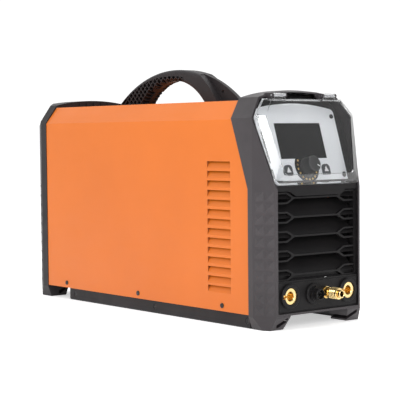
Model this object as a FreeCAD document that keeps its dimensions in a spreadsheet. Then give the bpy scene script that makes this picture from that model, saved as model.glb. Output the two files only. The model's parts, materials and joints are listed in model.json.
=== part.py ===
import FreeCAD, Part
import math
import os
import Sketcher
from FreeCAD import Placement, Rotation, Vector

# TIG welding machine, modelled in millimetres.
# The working frame has Y = 0 on the flat front face and Y growing towards the rear;
# every node is then moved so that the origin is at the middle of the footprint, on the floor.

DRIVING_SIZES = {
    "body_length": 614.0,
    "half_width": 101.0,
    "front_half_width": 84.0,
    "crease_depth": 31.5,
    "lean_start": 200.0,
    "bend_height": 300.0,
    "shoulder_half_width": 79.0,
    "shoulder_height": 331.0,
    "crown_height": 342.0,
    "rear_crown_height": 339.7,
    "corner_depth": 28.0,
    "bezel_wall": 3.0,
    "bezel_side_depth": 41.0,
    "bezel_bend_depth": 76.0,
    "bezel_top_depth": 82.0,
    "rear_edge": 567.0,
    "floor_clearance": 20.0,
    "cover_half_width": 100.0,
    "cover_shoulder_half": 78.3,
    "cover_top": 327.0,
    "cover_bottom": 20.5,
    "cover_sheet": 1.2,
    "edge_gap": 0.3,
    "louvre_count": 14.0,
    "louvre_pitch": 14.0,
    "louvre_length": 52.0,
    "louvre_drop": 10.0,
    "louvre_depth": 5.0,
    "louvre_front": 80.0,
    "louvre_top": 239.0,
    "tray_half_width": 98.5,
    "tray_sheet": 1.5,
    "tray_front": 44.0,
    "tray_rear": 562.0,
    "tray_flange": 26.0,
    "skirt_outer": 83.8,
    "rail_outer": 95.5,
    "rail_height": 19.6,
    "rail_front": 44.0,
    "rail_rear": 507.0,
    "handle_front": 164.0,
    "handle_rear": 474.0,
    "handle_height": 56.0,
    "handle_grip": 17.3,
    "handle_width": 31.0,
    "socket_spacing": 58.0,
    "connector_height": 47.5,
    "socket_bore": 6.5,
    "socket_brass_radius": 12.0,
    "socket_ring_radius": 17.5,
    "coupler_reach": 31.0,
    "coupler_x": 15.0,
    "control_socket_x": -11.0,
    "plate_half_width": 80.0,
    "plate_bottom": -18.8,
    "plate_side_top": 84.0,
    "plate_crown": 97.0,
    "plate_thickness": 2.0,
    "lcd_half_width": 46.0,
    "lcd_bottom": 12.6,
    "lcd_top": 66.8,
    "knob_radius": 13.5,
    "knob_top": 19.0,
    "dial_radius": 22.6,
    "button_spread": 37.7,
    "button_drop": 4.0,
    "panel_y": 26.7,
    "panel_z": 229.7,
    "lid_seat": 16.9,
    "lid_rise": 8.0,
    "lid_wall": 2.2,
    "lid_bevel": 13.0,
    "hinge_v": 100.0,
    "hinge_w": 27.4,
    "fan_size": 120.0,
    "fan_z": 205.0,
}

doc = FreeCAD.newDocument("tig_welding_machine")
sheet = doc.addObject("Spreadsheet::Sheet", "dims")
for row, (alias, number) in enumerate(DRIVING_SIZES.items(), start=1):
    sheet.set("A%d" % row, alias)
    sheet.set("B%d" % row, repr(number))
    sheet.setAlias("B%d" % row, alias)
doc.recompute()


class Size:
    """A length from the sheet, or a formula of such lengths, with the expression that gives it."""

    def __init__(self, value, text):
        self.value = value
        self.text = text

    def joined(self, other, sign, value):
        text = other.text if isinstance(other, Size) else repr(float(other))
        return Size(value, "(%s %s %s)" % (self.text, sign, text))

    def __add__(self, other):
        return self.joined(other, "+", self.value + number_of(other))

    def __sub__(self, other):
        return self.joined(other, "-", self.value - number_of(other))

    def __mul__(self, other):
        return self.joined(other, "*", self.value * number_of(other))

    def __truediv__(self, other):
        return self.joined(other, "/", self.value / number_of(other))

    def __neg__(self):
        return Size(-self.value, "(-%s)" % self.text)

    def __radd__(self, other):
        return self + other

    def __rmul__(self, other):
        return self * other

    def __rsub__(self, other):
        return -self + other


def number_of(value):
    """The plain number of a Size or of a number."""
    return value.value if isinstance(value, Size) else float(value)


def size(alias):
    """A driving dimension, bound to its cell."""
    return Size(sheet.get(alias), "dims." + alias)


HALF_LENGTH = size("body_length") / 2
HALF_WIDTH = size("half_width")
WALL = size("bezel_wall")
LEAN = math.atan2(
    number_of(size("crease_depth")),
    number_of(size("bend_height") - size("lean_start")),
)
NODES = []


def bind(item, prop, value):
    """Set a property and tie it to the sheet when the value comes from there."""
    if isinstance(value, Size):
        item.setExpression(prop, value.text)
    elif "." in prop:
        item.setExpression(prop, repr(float(value)))
    else:
        setattr(item, prop, value)


def place(item, corner):
    """Put a primitive at (x, y, z)."""
    for axis, value in zip("xyz", corner):
        bind(item, "Placement.Base." + axis, value)


def block(name, corner, lengths):
    """A rectangular block from its lowest corner."""
    item = doc.addObject("Part::Box", name)
    for prop, value in zip(("Length", "Width", "Height"), lengths):
        bind(item, prop, value)
    place(item, corner)
    return item


TURNS = {
    "x": Rotation(Vector(0, 1, 0), 90),
    "y": Rotation(Vector(1, 0, 0), -90),
    "z": Rotation(),
}


def rod(name, start, axis, radius, length):
    """A round bar that starts at a point and grows along an axis."""
    item = doc.addObject("Part::Cylinder", name)
    bind(item, "Radius", radius)
    bind(item, "Height", length)
    item.Placement = Placement(Vector(), TURNS[axis])
    place(item, start)
    return item


def cut(name, base, tools):
    """The base with every tool taken away."""
    tool = tools[0] if len(tools) == 1 else group(name + "_tools", tools)
    item = doc.addObject("Part::Cut", name)
    item.Base = base
    item.Tool = tool
    return item


def fuse(name, parts):
    """One solid from several."""
    item = doc.addObject("Part::MultiFuse", name)
    item.Shapes = parts
    return item


def group(name, parts):
    """Several separate solids in one object."""
    item = doc.addObject("Part::Compound", name)
    item.Links = parts
    return item


def plane_of(body, role):
    """One of a body's own origin planes."""
    return next(item for item in body.Origin.OriginFeatures if item.Role == role)


def new_body(name):
    return doc.addObject("PartDesign::Body", name)


def new_sketch(body, name, role, offset=0.0):
    """An empty sketch on an origin plane, moved along the plane's normal."""
    sketch = body.newObject("Sketcher::SketchObject", name)
    sketch.AttachmentSupport = (plane_of(body, role), [""])
    sketch.MapMode = "FlatFace"
    bind(sketch, "AttachmentOffset.Base.z", offset)
    return sketch


def pin_point(sketch, edge, corner, point):
    """Fix one end of an edge at its coordinates from the sketch origin."""
    for kind, value in zip(("DistanceX", "DistanceY"), point):
        index = sketch.addConstraint(
            Sketcher.Constraint(kind, -1, 1, edge, corner, number_of(value))
        )
        if isinstance(value, Size):
            sketch.setExpression("Constraints[%d]" % index, value.text)


def draw_outline(sketch, points):
    """A closed outline; a point given with a third value is the middle of an arc to the next one."""
    corners = [point for point in points if len(point) == 2]
    edges = []
    position = 0
    while position < len(points):
        start = points[position]
        following = points[(position + 1) % len(points)]
        first = Vector(number_of(start[0]), number_of(start[1]), 0)
        if len(following) == 3:
            last = points[(position + 2) % len(points)]
            middle = Vector(number_of(following[0]), number_of(following[1]), 0)
            end = Vector(number_of(last[0]), number_of(last[1]), 0)
            clockwise = (middle - first).cross(end - middle).z < 0
            arc = Part.Arc(end, middle, first) if clockwise else Part.Arc(first, middle, end)
            edges.append(sketch.addGeometry(arc, False))
            position += 2
        else:
            end = Vector(number_of(following[0]), number_of(following[1]), 0)
            edges.append(sketch.addGeometry(Part.LineSegment(first, end), False))
            position += 1
    for index, edge in enumerate(edges):
        turned = is_turned(sketch, edge, corners[index])
        pin_point(sketch, edge, 2 if turned else 1, corners[index])
        if is_arc(sketch, edge):
            radius = sketch.Geometry[edge].Radius
            sketch.addConstraint(Sketcher.Constraint("Radius", edge, radius))
            pin_point(sketch, edge, 1 if turned else 2, corners[(index + 1) % len(corners)])
        elif is_arc(sketch, edges[(index + 1) % len(edges)]):
            pin_point(sketch, edge, 2, corners[(index + 1) % len(corners)])
        else:
            following = edges[(index + 1) % len(edges)]
            sketch.addConstraint(Sketcher.Constraint("Coincident", edge, 2, following, 1))


def is_arc(sketch, edge):
    return isinstance(sketch.Geometry[edge], Part.ArcOfCircle)


def is_turned(sketch, edge, corner):
    """True when the edge's stored start is its far end, as for an arc drawn clockwise."""
    start = sketch.Geometry[edge].StartPoint
    near = Vector(number_of(corner[0]), number_of(corner[1]), 0)
    return (start - near).Length > 1e-4


def pad(body, sketch, length, backwards=False):
    """Grow a sketch along its normal, or against it."""
    item = body.newObject("PartDesign::Pad", sketch.Name + "_pad")
    item.Profile = sketch
    bind(item, "Length", length)
    item.Reversed = backwards
    body.Tip = item
    return item


def pocket(body, sketch, length, backwards=False):
    """Cut a sketch against its normal, or along it."""
    item = body.newObject("PartDesign::Pocket", sketch.Name + "_pocket")
    item.Profile = sketch
    bind(item, "Length", length)
    item.Reversed = backwards
    body.Tip = item
    return item


ROLES = {"xy": "XY_Plane", "xz": "XZ_Plane", "yz": "YZ_Plane"}


def prism(name, plane, points, start, length):
    """A body with one outline, grown along X, Y or Z from a start to start + length."""
    body = new_body(name)
    offset = -start if plane == "xz" else start
    sketch = new_sketch(body, name + "_sketch", ROLES[plane], offset)
    draw_outline(sketch, points)
    pad(body, sketch, length, backwards=(plane == "xz"))
    return body


def turned(name, points, axis="y"):
    """A body turned about X, Y or Z; each point is (along the axis, radius)."""
    body = new_body(name)
    role = {"x": "XY_Plane", "y": "XY_Plane", "z": "XZ_Plane"}[axis]
    sketch = new_sketch(body, name + "_sketch", role)
    if axis == "x":
        draw_outline(sketch, points)
    else:
        draw_outline(sketch, [(radius, along) for along, radius in points])
    item = body.newObject("PartDesign::Revolution", name + "_turn")
    item.Profile = sketch
    item.ReferenceAxis = (sketch, ["H_Axis" if axis == "x" else "V_Axis"])
    item.Angle = 360.0
    body.Tip = item
    return body


def mirror_points(points):
    """The points and, in reverse order, their mirror images across the first axis."""
    flipped = [(-point[0],) + tuple(point[1:]) for point in reversed(points)]
    return list(points) + flipped


def node(name, item, at=(0, 0, 0)):
    """Name a finished sub-part and put it in the object's frame."""
    item.Label = name
    turn = item.Placement.Rotation
    item.Placement = Placement(Vector(), turn)
    place(item, (at[0], at[1] - HALF_LENGTH, at[2]))
    NODES.append(item)
    return item


def panel_node(name, item):
    """Put a sub-part of the leaning control panel in the object's frame.

    Its own frame has X across, Y up the slope and Z out of the panel."""
    item.Label = name
    tilt = Rotation(Vector(1, 0, 0), 90 - math.degrees(LEAN))
    item.Placement = Placement(Vector(), tilt)
    place(item, (0, size("panel_y") - HALF_LENGTH, size("panel_z")))
    NODES.append(item)
    return item


def loose_shape(name, shape):
    """A feature that holds a shape made with Part's own functions."""
    item = doc.addObject("Part::Feature", name)
    item.Shape = shape
    return item


# Front and rear bezels: the same moulded ring, with feet, tapered corners and a crowned top.

CREASE = size("crease_depth")
FRONT_HALF = size("front_half_width")
LEAN_RUN = math.tan(LEAN)
FOOT_INNER_TOP = 57.0
FOOT_INNER = 64.0
FOOT_OUTER = 94.0
FOOT_TAPER = 18.0
BAR_TOP = 23.0
FACET_SLANT = 1.135
CORNER_SLANT = 0.6
CROWNS = {"front": "crown_height", "rear": "rear_crown_height"}
REACH = 160.0
SLOT_RISE = 0.55
SLOT_PLACES = (-70.0, 70.0)
RIB_PITCH = 15.0
LUG_CENTRE = 50.0
LUG_HALF = 11.0
EAR_THICKNESS = 2.5
EAR_PLACES = [
    side * (LUG_CENTRE + across)
    for side in (-1, 1)
    for across in (-LUG_HALF - 0.3 - EAR_THICKNESS / 2, LUG_HALF + 0.3 + EAR_THICKNESS / 2)
]
PIN_RADIUS = 1.5
REAR_BOSSES = [(side * 86.5, z) for side in (-1, 1) for z in (44.0, 290.0)]


def tilted(item):
    """Turn a tool made in the panel's frame into the working frame."""
    tilt = Rotation(Vector(1, 0, 0), 90 - math.degrees(LEAN))
    item.Placement = Placement(Vector(), tilt)
    place(item, (0, size("panel_y"), size("panel_z")))
    return item


def hinge_ear(index, x):
    """A bracket ear of the lid hinge, with its pin hole, reaching back to the visor."""
    v, w = size("hinge_v"), size("hinge_w")
    left = x - EAR_THICKNESS / 2
    plate = prism(
        "ear_plate_%d" % index,
        "yz",
        [
            (v - 3.2, w + 1.2),
            (v, w + 3.6, "arc"),
            (v + 3.2, w + 1.2),
            (v + 7.0, w - 9.4),
            (v + 7.0, w - 15.4),
            (v - 3.4, w - 9.8),
        ],
        left,
        EAR_THICKNESS,
    )
    hole = rod("ear_hole_%d" % index, (left - 1.0, v, w), "x", PIN_RADIUS, EAR_THICKNESS + 2.0)
    return tilted(cut("hinge_ear_%d" % index, plate, [hole]))


def bezel_outline(inset, bottom, end):
    """The section across the machine; without an inset it includes the feet."""
    half = HALF_WIDTH - inset
    shoulder = size("shoulder_half_width") - inset * 0.5
    sides = [
        (half, size("bend_height") + 1.0 - inset * 0.4),
        (shoulder, size("shoulder_height") - inset * 1.1),
    ]
    right = [(half, bottom)] if inset else []
    if not inset:
        right = [
            (FOOT_INNER_TOP, size("floor_clearance")),
            (FOOT_INNER, 0.0),
            (FOOT_OUTER, 0.0),
            (half, FOOT_TAPER),
        ]
    right = right + sides
    left = [(-point[0], point[1]) for point in reversed(right)]
    crown = (0.0, size(CROWNS[end]) - inset * 1.1, "arc")
    return right + [crown] + left


def from_end(end, depth):
    """The Y of a depth measured inwards from the front or the rear face."""
    return depth + 0.0 if end == "front" else size("body_length") - depth


def corner_slice(name, side, inset):
    """A tilted block that tapers one upper corner towards the rear face."""
    low = Vector(side * number_of(HALF_WIDTH), 0, number_of(size("bend_height")) + 1.0)
    high = Vector(side * number_of(size("shoulder_half_width")), 0, number_of(size("shoulder_height")))
    along = (high - low).normalize()
    outward = Vector(side * along.z, 0, -side * along.x)
    normal = (outward + Vector(0, 1, 0) * CORNER_SLANT).normalize()
    down_slope = (Vector(0, 1, 0) - outward * CORNER_SLANT).normalize()
    across = down_slope.cross(normal)
    start = (low + high) / 2 + Vector(0, number_of(from_end("rear", size("corner_depth"))), 0)
    corner = start - normal * number_of(inset) - across * 60.0 - down_slope * 20.0
    tool = doc.addObject("Part::Box", name)
    tool.Length, tool.Width, tool.Height = 120.0, 90.0, 60.0
    tool.Placement = Placement(corner, Rotation(across, down_slope, normal, "XYZ"))
    return tool


def facet_tools(name, inset, end):
    """Upright wedges that taper the corners at one end, and the upper corners at the rear."""
    shift = inset * FACET_SLANT
    tools = []
    for side, word in ((1, "right"), (-1, "left")):
        points = [
            (side * (FRONT_HALF - shift), from_end(end, 0.0)),
            (side * (FRONT_HALF - shift), from_end(end, -20.0)),
            (side * REACH, from_end(end, -20.0)),
            (side * REACH, from_end(end, CREASE)),
            (side * (HALF_WIDTH - shift), from_end(end, CREASE)),
        ]
        tools.append(prism("%s_%s" % (name, word), "xy", points, -5.0, 400.0))
        if end == "rear":
            tools.append(corner_slice("%s_upper_%s" % (name, word), side, inset))
    return tools


def foot_slope_tool(name, end):
    """The slope that brings the end of the feet in towards the floor."""
    points = []
    for depth, height in ((-20.0, FOOT_TAPER), (0.0, FOOT_TAPER), (9.0, -0.5), (-20.0, -0.5)):
        points.append((from_end(end, depth), height))
    return prism(name, "yz", points, -REACH, 2 * REACH)


def strap_slot(name, centre, start):
    """A slanted slot through a foot, for a strap."""
    points = []
    for along, across in ((-9.0, -2.6), (9.0, -2.6), (9.0, 2.6), (-9.0, 2.6)):
        points.append((centre + along - across * SLOT_RISE, 9.8 + along * SLOT_RISE + across))
    return prism(name, "xz", points, start, 80.0)


def pyramid_strip(name, side, end):
    """Two columns of low pyramids along a tapered corner, as one loose shape."""
    rows, columns, sink = 11, 2, 0.6
    height = 2.8 if end == "front" else 0.9
    low, high = number_of(size("floor_clearance")) - 0.5, number_of(size("lean_start")) - 1.5
    back = Vector(side * number_of(HALF_WIDTH), number_of(from_end(end, CREASE)), 0)
    front = Vector(side * number_of(FRONT_HALF), number_of(from_end(end, 0.0)), 0)
    along = Vector(front - back).normalize()
    outward = Vector(abs(along.y) * side, abs(along.x) * (-1 if end == "front" else 1), 0)
    width = (front - back).Length
    margin = 2.0
    pitch_z = (high - low) / rows
    pitch_s = (width - 2 * margin) / columns
    solids = []
    for column in range(columns):
        for line in range(rows):
            near = margin + column * pitch_s
            base = low + line * pitch_z
            corners = [(near, base), (near + pitch_s, base)]
            corners += [(near + pitch_s, base + pitch_z), (near, base + pitch_z)]
            floor = [back + along * s + Vector(0, 0, z) - outward * sink for s, z in corners]
            tip = back + along * (near + pitch_s / 2) + Vector(0, 0, base + pitch_z / 2)
            tip = tip + outward * height
            faces = [Part.Face(Part.makePolygon(floor + [floor[0]]))]
            for index in range(4):
                ring = [floor[index], floor[(index + 1) % 4], tip, floor[index]]
                faces.append(Part.Face(Part.makePolygon(ring)))
            solids.append(Part.makeSolid(Part.makeShell(faces)))
    strip = solids[0].multiFuse(solids[1:])
    return loose_shape(name, strip)


def bezel_cavity(name, start, length, end):
    """The space inside a bezel, with the same tapered corners."""
    inset = number_of(WALL)
    room = prism(name + "_room", "xz", bezel_outline(inset, BAR_TOP, end), start, length)
    return cut(name, room, facet_tools(name + "_corner", inset, end))


def crown_web(name, start, end):
    """The upright web that closes the gap between the cover and the crown."""
    width = 2 * number_of(HALF_WIDTH)
    above = block(name + "_above", (-width / 2, start, size("cover_top") + 0.3), (width, 2.0, 30.0))
    section = prism(name + "_section", "xz", bezel_outline(1.0, BAR_TOP, end), start, 2.0)
    web = doc.addObject("Part::Common", name)
    web.Base = section
    web.Tool = above
    return web


def make_front_bezel():
    outline = bezel_outline(0, 0, "front")
    outer = prism("bezel_outer", "xz", outline, 0.0, size("bezel_top_depth"))
    brow = size("shoulder_height") + 1.0
    lip = (brow - size("lean_start")) * LEAN_RUN
    lean = prism(
        "lean_tool",
        "yz",
        [
            (0.0, size("lean_start")),
            (lip, brow),
            (lip + 5.0, size("crown_height") - 3.0),
            (60.0, size("crown_height") + 1.0),
            (60.0, 400.0),
            (-20.0, 400.0),
            (-20.0, size("lean_start")),
        ],
        -REACH,
        2 * REACH,
    )
    slant = prism(
        "slant_tool",
        "yz",
        [
            (size("bezel_side_depth"), -5.0),
            (200.0, -5.0),
            (200.0, 400.0),
            (size("bezel_top_depth"), 400.0),
            (size("bezel_top_depth"), size("cover_top")),
            (size("bezel_bend_depth"), size("bend_height")),
            (size("bezel_side_depth"), size("lean_start")),
        ],
        -REACH,
        2 * REACH,
    )
    tools = facet_tools("front_corner", 0.0, "front")
    tools += [lean, slant, foot_slope_tool("front_foot_slope", "front")]
    tools += [bezel_cavity("front_cavity", -1.0, 120.0, "front")]
    tools += [strap_slot("front_slot_%d" % index, x, -10.0) for index, x in enumerate(SLOT_PLACES)]
    shell = cut("front_shell", outer, tools)
    parts = [shell, crown_web("front_web", size("bezel_top_depth") - 2.0, "front")]
    parts += [pyramid_strip("front_studs_%d" % index, side, "front") for index, side in enumerate((-1, 1))]
    parts += [hinge_ear(index, x) for index, x in enumerate(EAR_PLACES)]
    return fuse("front_bezel_solid", parts)


def make_rear_bezel():
    start = size("rear_edge")
    depth = size("body_length") - start
    outer = prism("rear_outer", "xz", bezel_outline(0, 0, "rear"), start, depth)
    tools = facet_tools("rear_corner", 0.0, "rear")
    tools += [foot_slope_tool("rear_foot_slope", "rear")]
    tools += [bezel_cavity("rear_cavity", start - 1.0, depth + 2.0, "rear")]
    tools += [strap_slot("rear_slot_%d" % index, x, start - 5.0) for index, x in enumerate(SLOT_PLACES)]
    shell = cut("rear_shell", outer, tools)
    parts = [shell, crown_web("rear_web", start, "rear")]
    parts += [pyramid_strip("rear_studs_%d" % index, side, "rear") for index, side in enumerate((-1, 1))]
    for index in range(5):
        corner = ((index - 2) * RIB_PITCH - 0.8, start - 2.0, size("cover_top") + 0.5)
        parts.append(block("crown_rib_%d" % index, corner, (1.6, 2.5, 8.5)))
    for index, (x, z) in enumerate(REAR_BOSSES):
        corner = (x - 7.5 if x < 0 else x - 7.0, 578.0, z - 6.0)
        boss = block("rear_boss_%d" % index, corner, (14.5, 11.9, 12.0))
        hole = rod("rear_boss_hole_%d" % index, (x, 570.0, z), "y", 1.95, 30.0)
        parts.append(cut("rear_boss_ring_%d" % index, boss, [hole]))
    return fuse("rear_bezel_solid", parts)


node("front_bezel", make_front_bezel())
node("rear_bezel", make_rear_bezel())


# Sheet metal: the orange cover, the tray, the rails under it and their screws.

GAP = size("edge_gap")
SHEET = size("cover_sheet")
SCREW_HOLE = 2.1
SCREW_SHANK = 1.9
COVER_SCREW_Z = 28.8
COVER_SCREW_Y = (100.0, 306.0, 509.0)
RAIL_SCREW_Z = 10.5
RAIL_SCREW_Y = (49.5, 268.0, 490.0)
BOLT_Y = (224.0, 440.0)
SIDES = (-1, 1)


def channel_outline(half, shoulder, top, bottom, sheet_size):
    """The section of a folded sheet with two sides, two chamfers and a top."""
    bend = size("bend_height") - 0.5
    outer = [(half, bottom), (half, bend), (shoulder, top)]
    inner = [
        (half - sheet_size, bottom),
        (half - sheet_size, bend - sheet_size * 0.4),
        (shoulder - sheet_size * 0.5, top - sheet_size),
    ]
    left_outer = [(-x, z) for x, z in reversed(outer)]
    left_inner = [(-x, z) for x, z in inner]
    return outer + left_outer + left_inner + [(x, z) for x, z in reversed(inner)]


def louvre_rows(body, side):
    """A column of louvres pressed inwards: a sloping sheet behind a wedge-shaped opening."""
    half = size("cover_half_width")
    top = size("louvre_top")
    low = top - size("louvre_drop")
    deep = half - size("louvre_depth")
    start = size("louvre_front")
    length = size("louvre_length")
    word = "left" if side < 0 else "right"
    backing = new_sketch(body, "louvre_backing_" + word, ROLES["xz"], -(start - SHEET))
    draw_outline(
        backing,
        [
            (side * (half - SHEET), low - SHEET * 1.2),
            (side * (deep - SHEET), top),
            (side * (half - SHEET), top),
        ],
    )
    shell = pad(body, backing, length + SHEET * 2, backwards=True)
    opening = new_sketch(body, "louvre_opening_" + word, ROLES["xz"], -start)
    draw_outline(
        opening,
        [(side * (half + 1.0), low - 2.0), (side * deep, top), (side * (half + 1.0), top)],
    )
    mouth = pocket(body, opening, length)
    rows = body.newObject("PartDesign::LinearPattern", "louvre_rows_" + word)
    rows.Originals = [shell, mouth]
    rows.Direction = (opening, ["V_Axis"])
    rows.Reversed = True
    bind(rows, "Length", size("louvre_pitch") * (number_of(size("louvre_count")) - 1))
    bind(rows, "Occurrences", int(number_of(size("louvre_count"))))
    body.Tip = rows


def make_cover_shell():
    start = size("bezel_side_depth") + GAP
    outline = channel_outline(
        size("cover_half_width"),
        size("cover_shoulder_half"),
        size("cover_top"),
        size("cover_bottom"),
        SHEET,
    )
    body = prism("cover_sheet", "xz", outline, start, size("rear_edge") - GAP - start)
    for side in SIDES:
        louvre_rows(body, side)
    slant = prism(
        "cover_slant",
        "yz",
        [
            (0.0, size("lean_start")),
            (size("bezel_side_depth") + GAP, size("lean_start")),
            (size("bezel_bend_depth") + GAP, size("bend_height")),
            (size("bezel_top_depth") + GAP, size("cover_top") + 1.0),
            (0.0, size("cover_top") + 1.0),
        ],
        -REACH,
        2 * REACH,
    )
    tools = [slant]
    for index, y in enumerate(COVER_SCREW_Y):
        tools.append(rod("cover_hole_%d" % index, (-REACH, y, COVER_SCREW_Z), "x", SCREW_HOLE, 2 * REACH))
    for index, y in enumerate(BOLT_Y):
        tools.append(rod("bolt_hole_%d" % index, (0, y, 300.0), "z", 3.1, 40.0))
    return cut("cover_solid", body, tools)


def screw_shape(head_radius, head_height, shank_radius, shank_length):
    """A round-headed screw along +Z with its head below Z = 0 and a cross recess."""
    head = Part.makeCylinder(head_radius, head_height, Vector(0, 0, -head_height))
    rim = [edge for edge in head.Edges if abs(edge.CenterOfMass.z + head_height) < 1e-6]
    head = head.makeFillet(head_height * 0.45, rim)
    deep = head_height * 0.5
    for turn in (0, 90):
        slot = Part.makeBox(head_radius * 1.1, head_radius * 0.24, deep)
        slot.translate(Vector(-head_radius * 0.55, -head_radius * 0.12, -head_height))
        slot.rotate(Vector(), Vector(0, 0, 1), turn)
        head = head.cut(slot)
    return head.fuse(Part.makeCylinder(shank_radius, shank_length))


def screw_set(name, shape, places):
    """Separate copies of one screw; each place is a point and the direction that it is driven."""
    copies = []
    for point, direction in places:
        turn = Rotation(Vector(0, 0, 1), Vector(*direction))
        position = Vector(*[number_of(value) for value in point])
        copies.append(shape.transformed(Placement(position, turn).toMatrix(), True))
    return loose_shape(name, Part.makeCompound(copies))


def make_base_tray():
    """The folded floor, with side flanges inside the cover and skirts that carry the rails."""
    half = size("tray_half_width")
    thick = size("tray_sheet")
    low = size("cover_bottom")
    skirt = size("skirt_outer")
    right = [
        (skirt - thick, low),
        (skirt - thick, 3.0),
        (skirt, 3.0),
        (skirt, low),
        (half, low),
        (half, low + size("tray_flange")),
        (half - thick, low + size("tray_flange")),
        (half - thick, low + thick),
    ]
    left = [(-x, z) for x, z in reversed(right)]
    start = size("tray_front")
    body = prism("tray_sheet_body", "xz", right + left, start, size("tray_rear") - start)
    behind = block("tray_behind", (-REACH, size("rail_rear"), -1.0), (2 * REACH, 80.0, low + 1.0))
    tools = [behind]
    for index, y in enumerate(COVER_SCREW_Y):
        tools.append(
            rod("tray_hole_%d" % index, (-REACH, y, COVER_SCREW_Z), "x", SCREW_SHANK + 0.05, 2 * REACH)
        )
    for index, y in enumerate(RAIL_SCREW_Y):
        tools.append(
            rod("skirt_hole_%d" % index, (-REACH, y, RAIL_SCREW_Z), "x", SCREW_SHANK + 0.05, 2 * REACH)
        )
    for column in range(9):
        for line in range(5):
            corner = (-60.0 + line * 26.0, 180.0 + column * 30.0, 0.0)
            tools.append(block("tray_vent_%d_%d" % (column, line), corner, (16.0, 5.0, 40.0)))
    return cut("tray_solid", body, tools)


def make_rail(side):
    """A moulded skid with rounded lower edges and counterbored screw holes."""
    word = "left" if side < 0 else "right"
    outer = size("rail_outer")
    inner = size("skirt_outer") + 0.1
    top = size("rail_height")
    points = [
        (inner, 0.0),
        (outer - 3.0, 0.0),
        (outer - 0.9, 0.9, "arc"),
        (outer, 3.0),
        (outer, top),
        (inner, top),
    ]
    points = [(side * point[0],) + tuple(point[1:]) for point in points]
    start = size("rail_front")
    body = prism("rail_body_" + word, "xz", points, start, size("rail_rear") - start)
    tools = []
    for index, y in enumerate(RAIL_SCREW_Y):
        tools.append(
            rod("rail_hole_%s_%d" % (word, index), (-REACH, y, RAIL_SCREW_Z), "x", SCREW_HOLE, 2 * REACH)
        )
        seat = outer - 2.2 if side > 0 else -outer - 10.0
        length = 12.2
        tools.append(rod("rail_seat_%s_%d" % (word, index), (seat, y, RAIL_SCREW_Z), "x", 4.3, length))
    return cut("rail_solid_" + word, body, tools)


node("base_tray", make_base_tray())
node("rail_left", make_rail(-1))
node("rail_right", make_rail(1))
node("cover_shell", make_cover_shell())
cover_outer = number_of(size("cover_half_width"))
rail_seat = number_of(size("rail_outer")) - 2.2
node(
    "cover_screws",
    screw_set(
        "cover_screw_shapes",
        screw_shape(3.7, 1.4, SCREW_SHANK, 7.0),
        [((s * cover_outer, y, COVER_SCREW_Z), (-s, 0, 0)) for s in SIDES for y in COVER_SCREW_Y],
    ),
)
node(
    "rail_screws",
    screw_set(
        "rail_screw_shapes",
        screw_shape(3.9, 2.0, SCREW_SHANK, 14.0),
        [((s * rail_seat, y, RAIL_SCREW_Z), (-s, 0, 0)) for s in SIDES for y in RAIL_SCREW_Y],
    ),
)


# The carrying handle and its bolts.

HANDLE_FOOT = 0.2
CHEEK_DEPTH = 12.0
RING_WIDTH = 27.5
RING_CREST = 252.0
HOLLOW_FRONT = 292.0


def on_circle(centre, radius, y):
    """The point of a circle's upper half above a Y."""
    return (y, centre[1] + math.sqrt(radius**2 - (y - centre[0]) ** 2))


def circle_through(start, end, rise):
    """Centre and radius of the arc over a level chord."""
    half = (end[0] - start[0]) / 2
    radius = (half**2 + rise**2) / (2 * rise)
    return ((start[0] + end[0]) / 2, start[1] + rise - radius), radius


def make_handle():
    base = number_of(size("cover_top")) + HANDLE_FOOT
    front, rear = number_of(size("handle_front")), number_of(size("handle_rear"))
    rise = number_of(size("handle_height")) - HANDLE_FOOT
    grip = number_of(size("handle_grip"))
    width = number_of(size("handle_width"))
    outer, outer_radius = circle_through((front, base), (rear, base), rise)
    gap_front, gap_rear = 242.0, 405.0
    inner, inner_radius = circle_through((gap_front, base), (gap_rear, base), rise - grip)
    body = new_body("handle_body")
    sketch = new_sketch(body, "handle_profile", ROLES["yz"], -size("handle_width") / 2)
    draw_outline(
        sketch,
        [
            (size("handle_front"), base),
            (outer[0], outer[1] + outer_radius, "arc"),
            (size("handle_rear"), base),
            (gap_rear, base),
            (inner[0], inner[1] + inner_radius, "arc"),
            (gap_front, base),
        ],
    )
    bar = pad(body, sketch, size("handle_width"))
    doc.recompute()
    round_off = body.newObject("PartDesign::Fillet", "handle_rounding")
    rims = [
        "Edge%d" % (index + 1)
        for index, edge in enumerate(bar.Shape.Edges)
        if isinstance(edge.Curve, Part.Circle)
    ]
    round_off.Base = (bar, rims)
    round_off.Radius = 6.0
    body.Tip = round_off
    low = base + 3.0
    tools = []
    for side in SIDES:
        start = width / 2 - CHEEK_DEPTH if side > 0 else -width / 2 - 10.0
        for word, points in (
            ("front", front_cheek(inner, inner_radius, low)),
            ("rear", rear_hollow(outer, outer_radius, inner, low)),
        ):
            name = "cheek_%s_%d" % (word, side + 1)
            region = prism(name, "yz", points, start, CHEEK_DEPTH + 10.0)
            if word == "rear":
                boss = block(name + "_boss", (-7.0, BOLT_Y[1] - 7.0, base), (14.0, 14.0, 20.0))
                region = cut(name + "_ribbed", region, [cheek_ribs(name, start, low), boss])
            tools.append(region)
    tools.append(rod("strap_hole", (-REACH, 208.5, 345.0), "x", 2.8, 2 * REACH))
    for index, y in enumerate(BOLT_Y):
        tools.append(rod("handle_bore_%d" % index, (0, y, base - 1.0), "z", 3.05, 17.5))
    return cut("handle_solid", body, tools)


def front_cheek(inner, inner_radius, low):
    """Outline of the step beside the front leg, outside the rounded ring."""
    ring = inner_radius + RING_WIDTH
    foot = inner[0] - math.sqrt(ring**2 - (low - inner[1]) ** 2)
    crest = on_circle(inner, ring, RING_CREST)
    middle = on_circle(inner, ring, (foot + RING_CREST) / 2 - 4.0) + ("arc",)
    clear = number_of(size("handle_front")) - 10.0
    return [(clear, low), (clear, 400.0), (RING_CREST, 400.0), crest, middle, (foot, low)]


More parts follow.
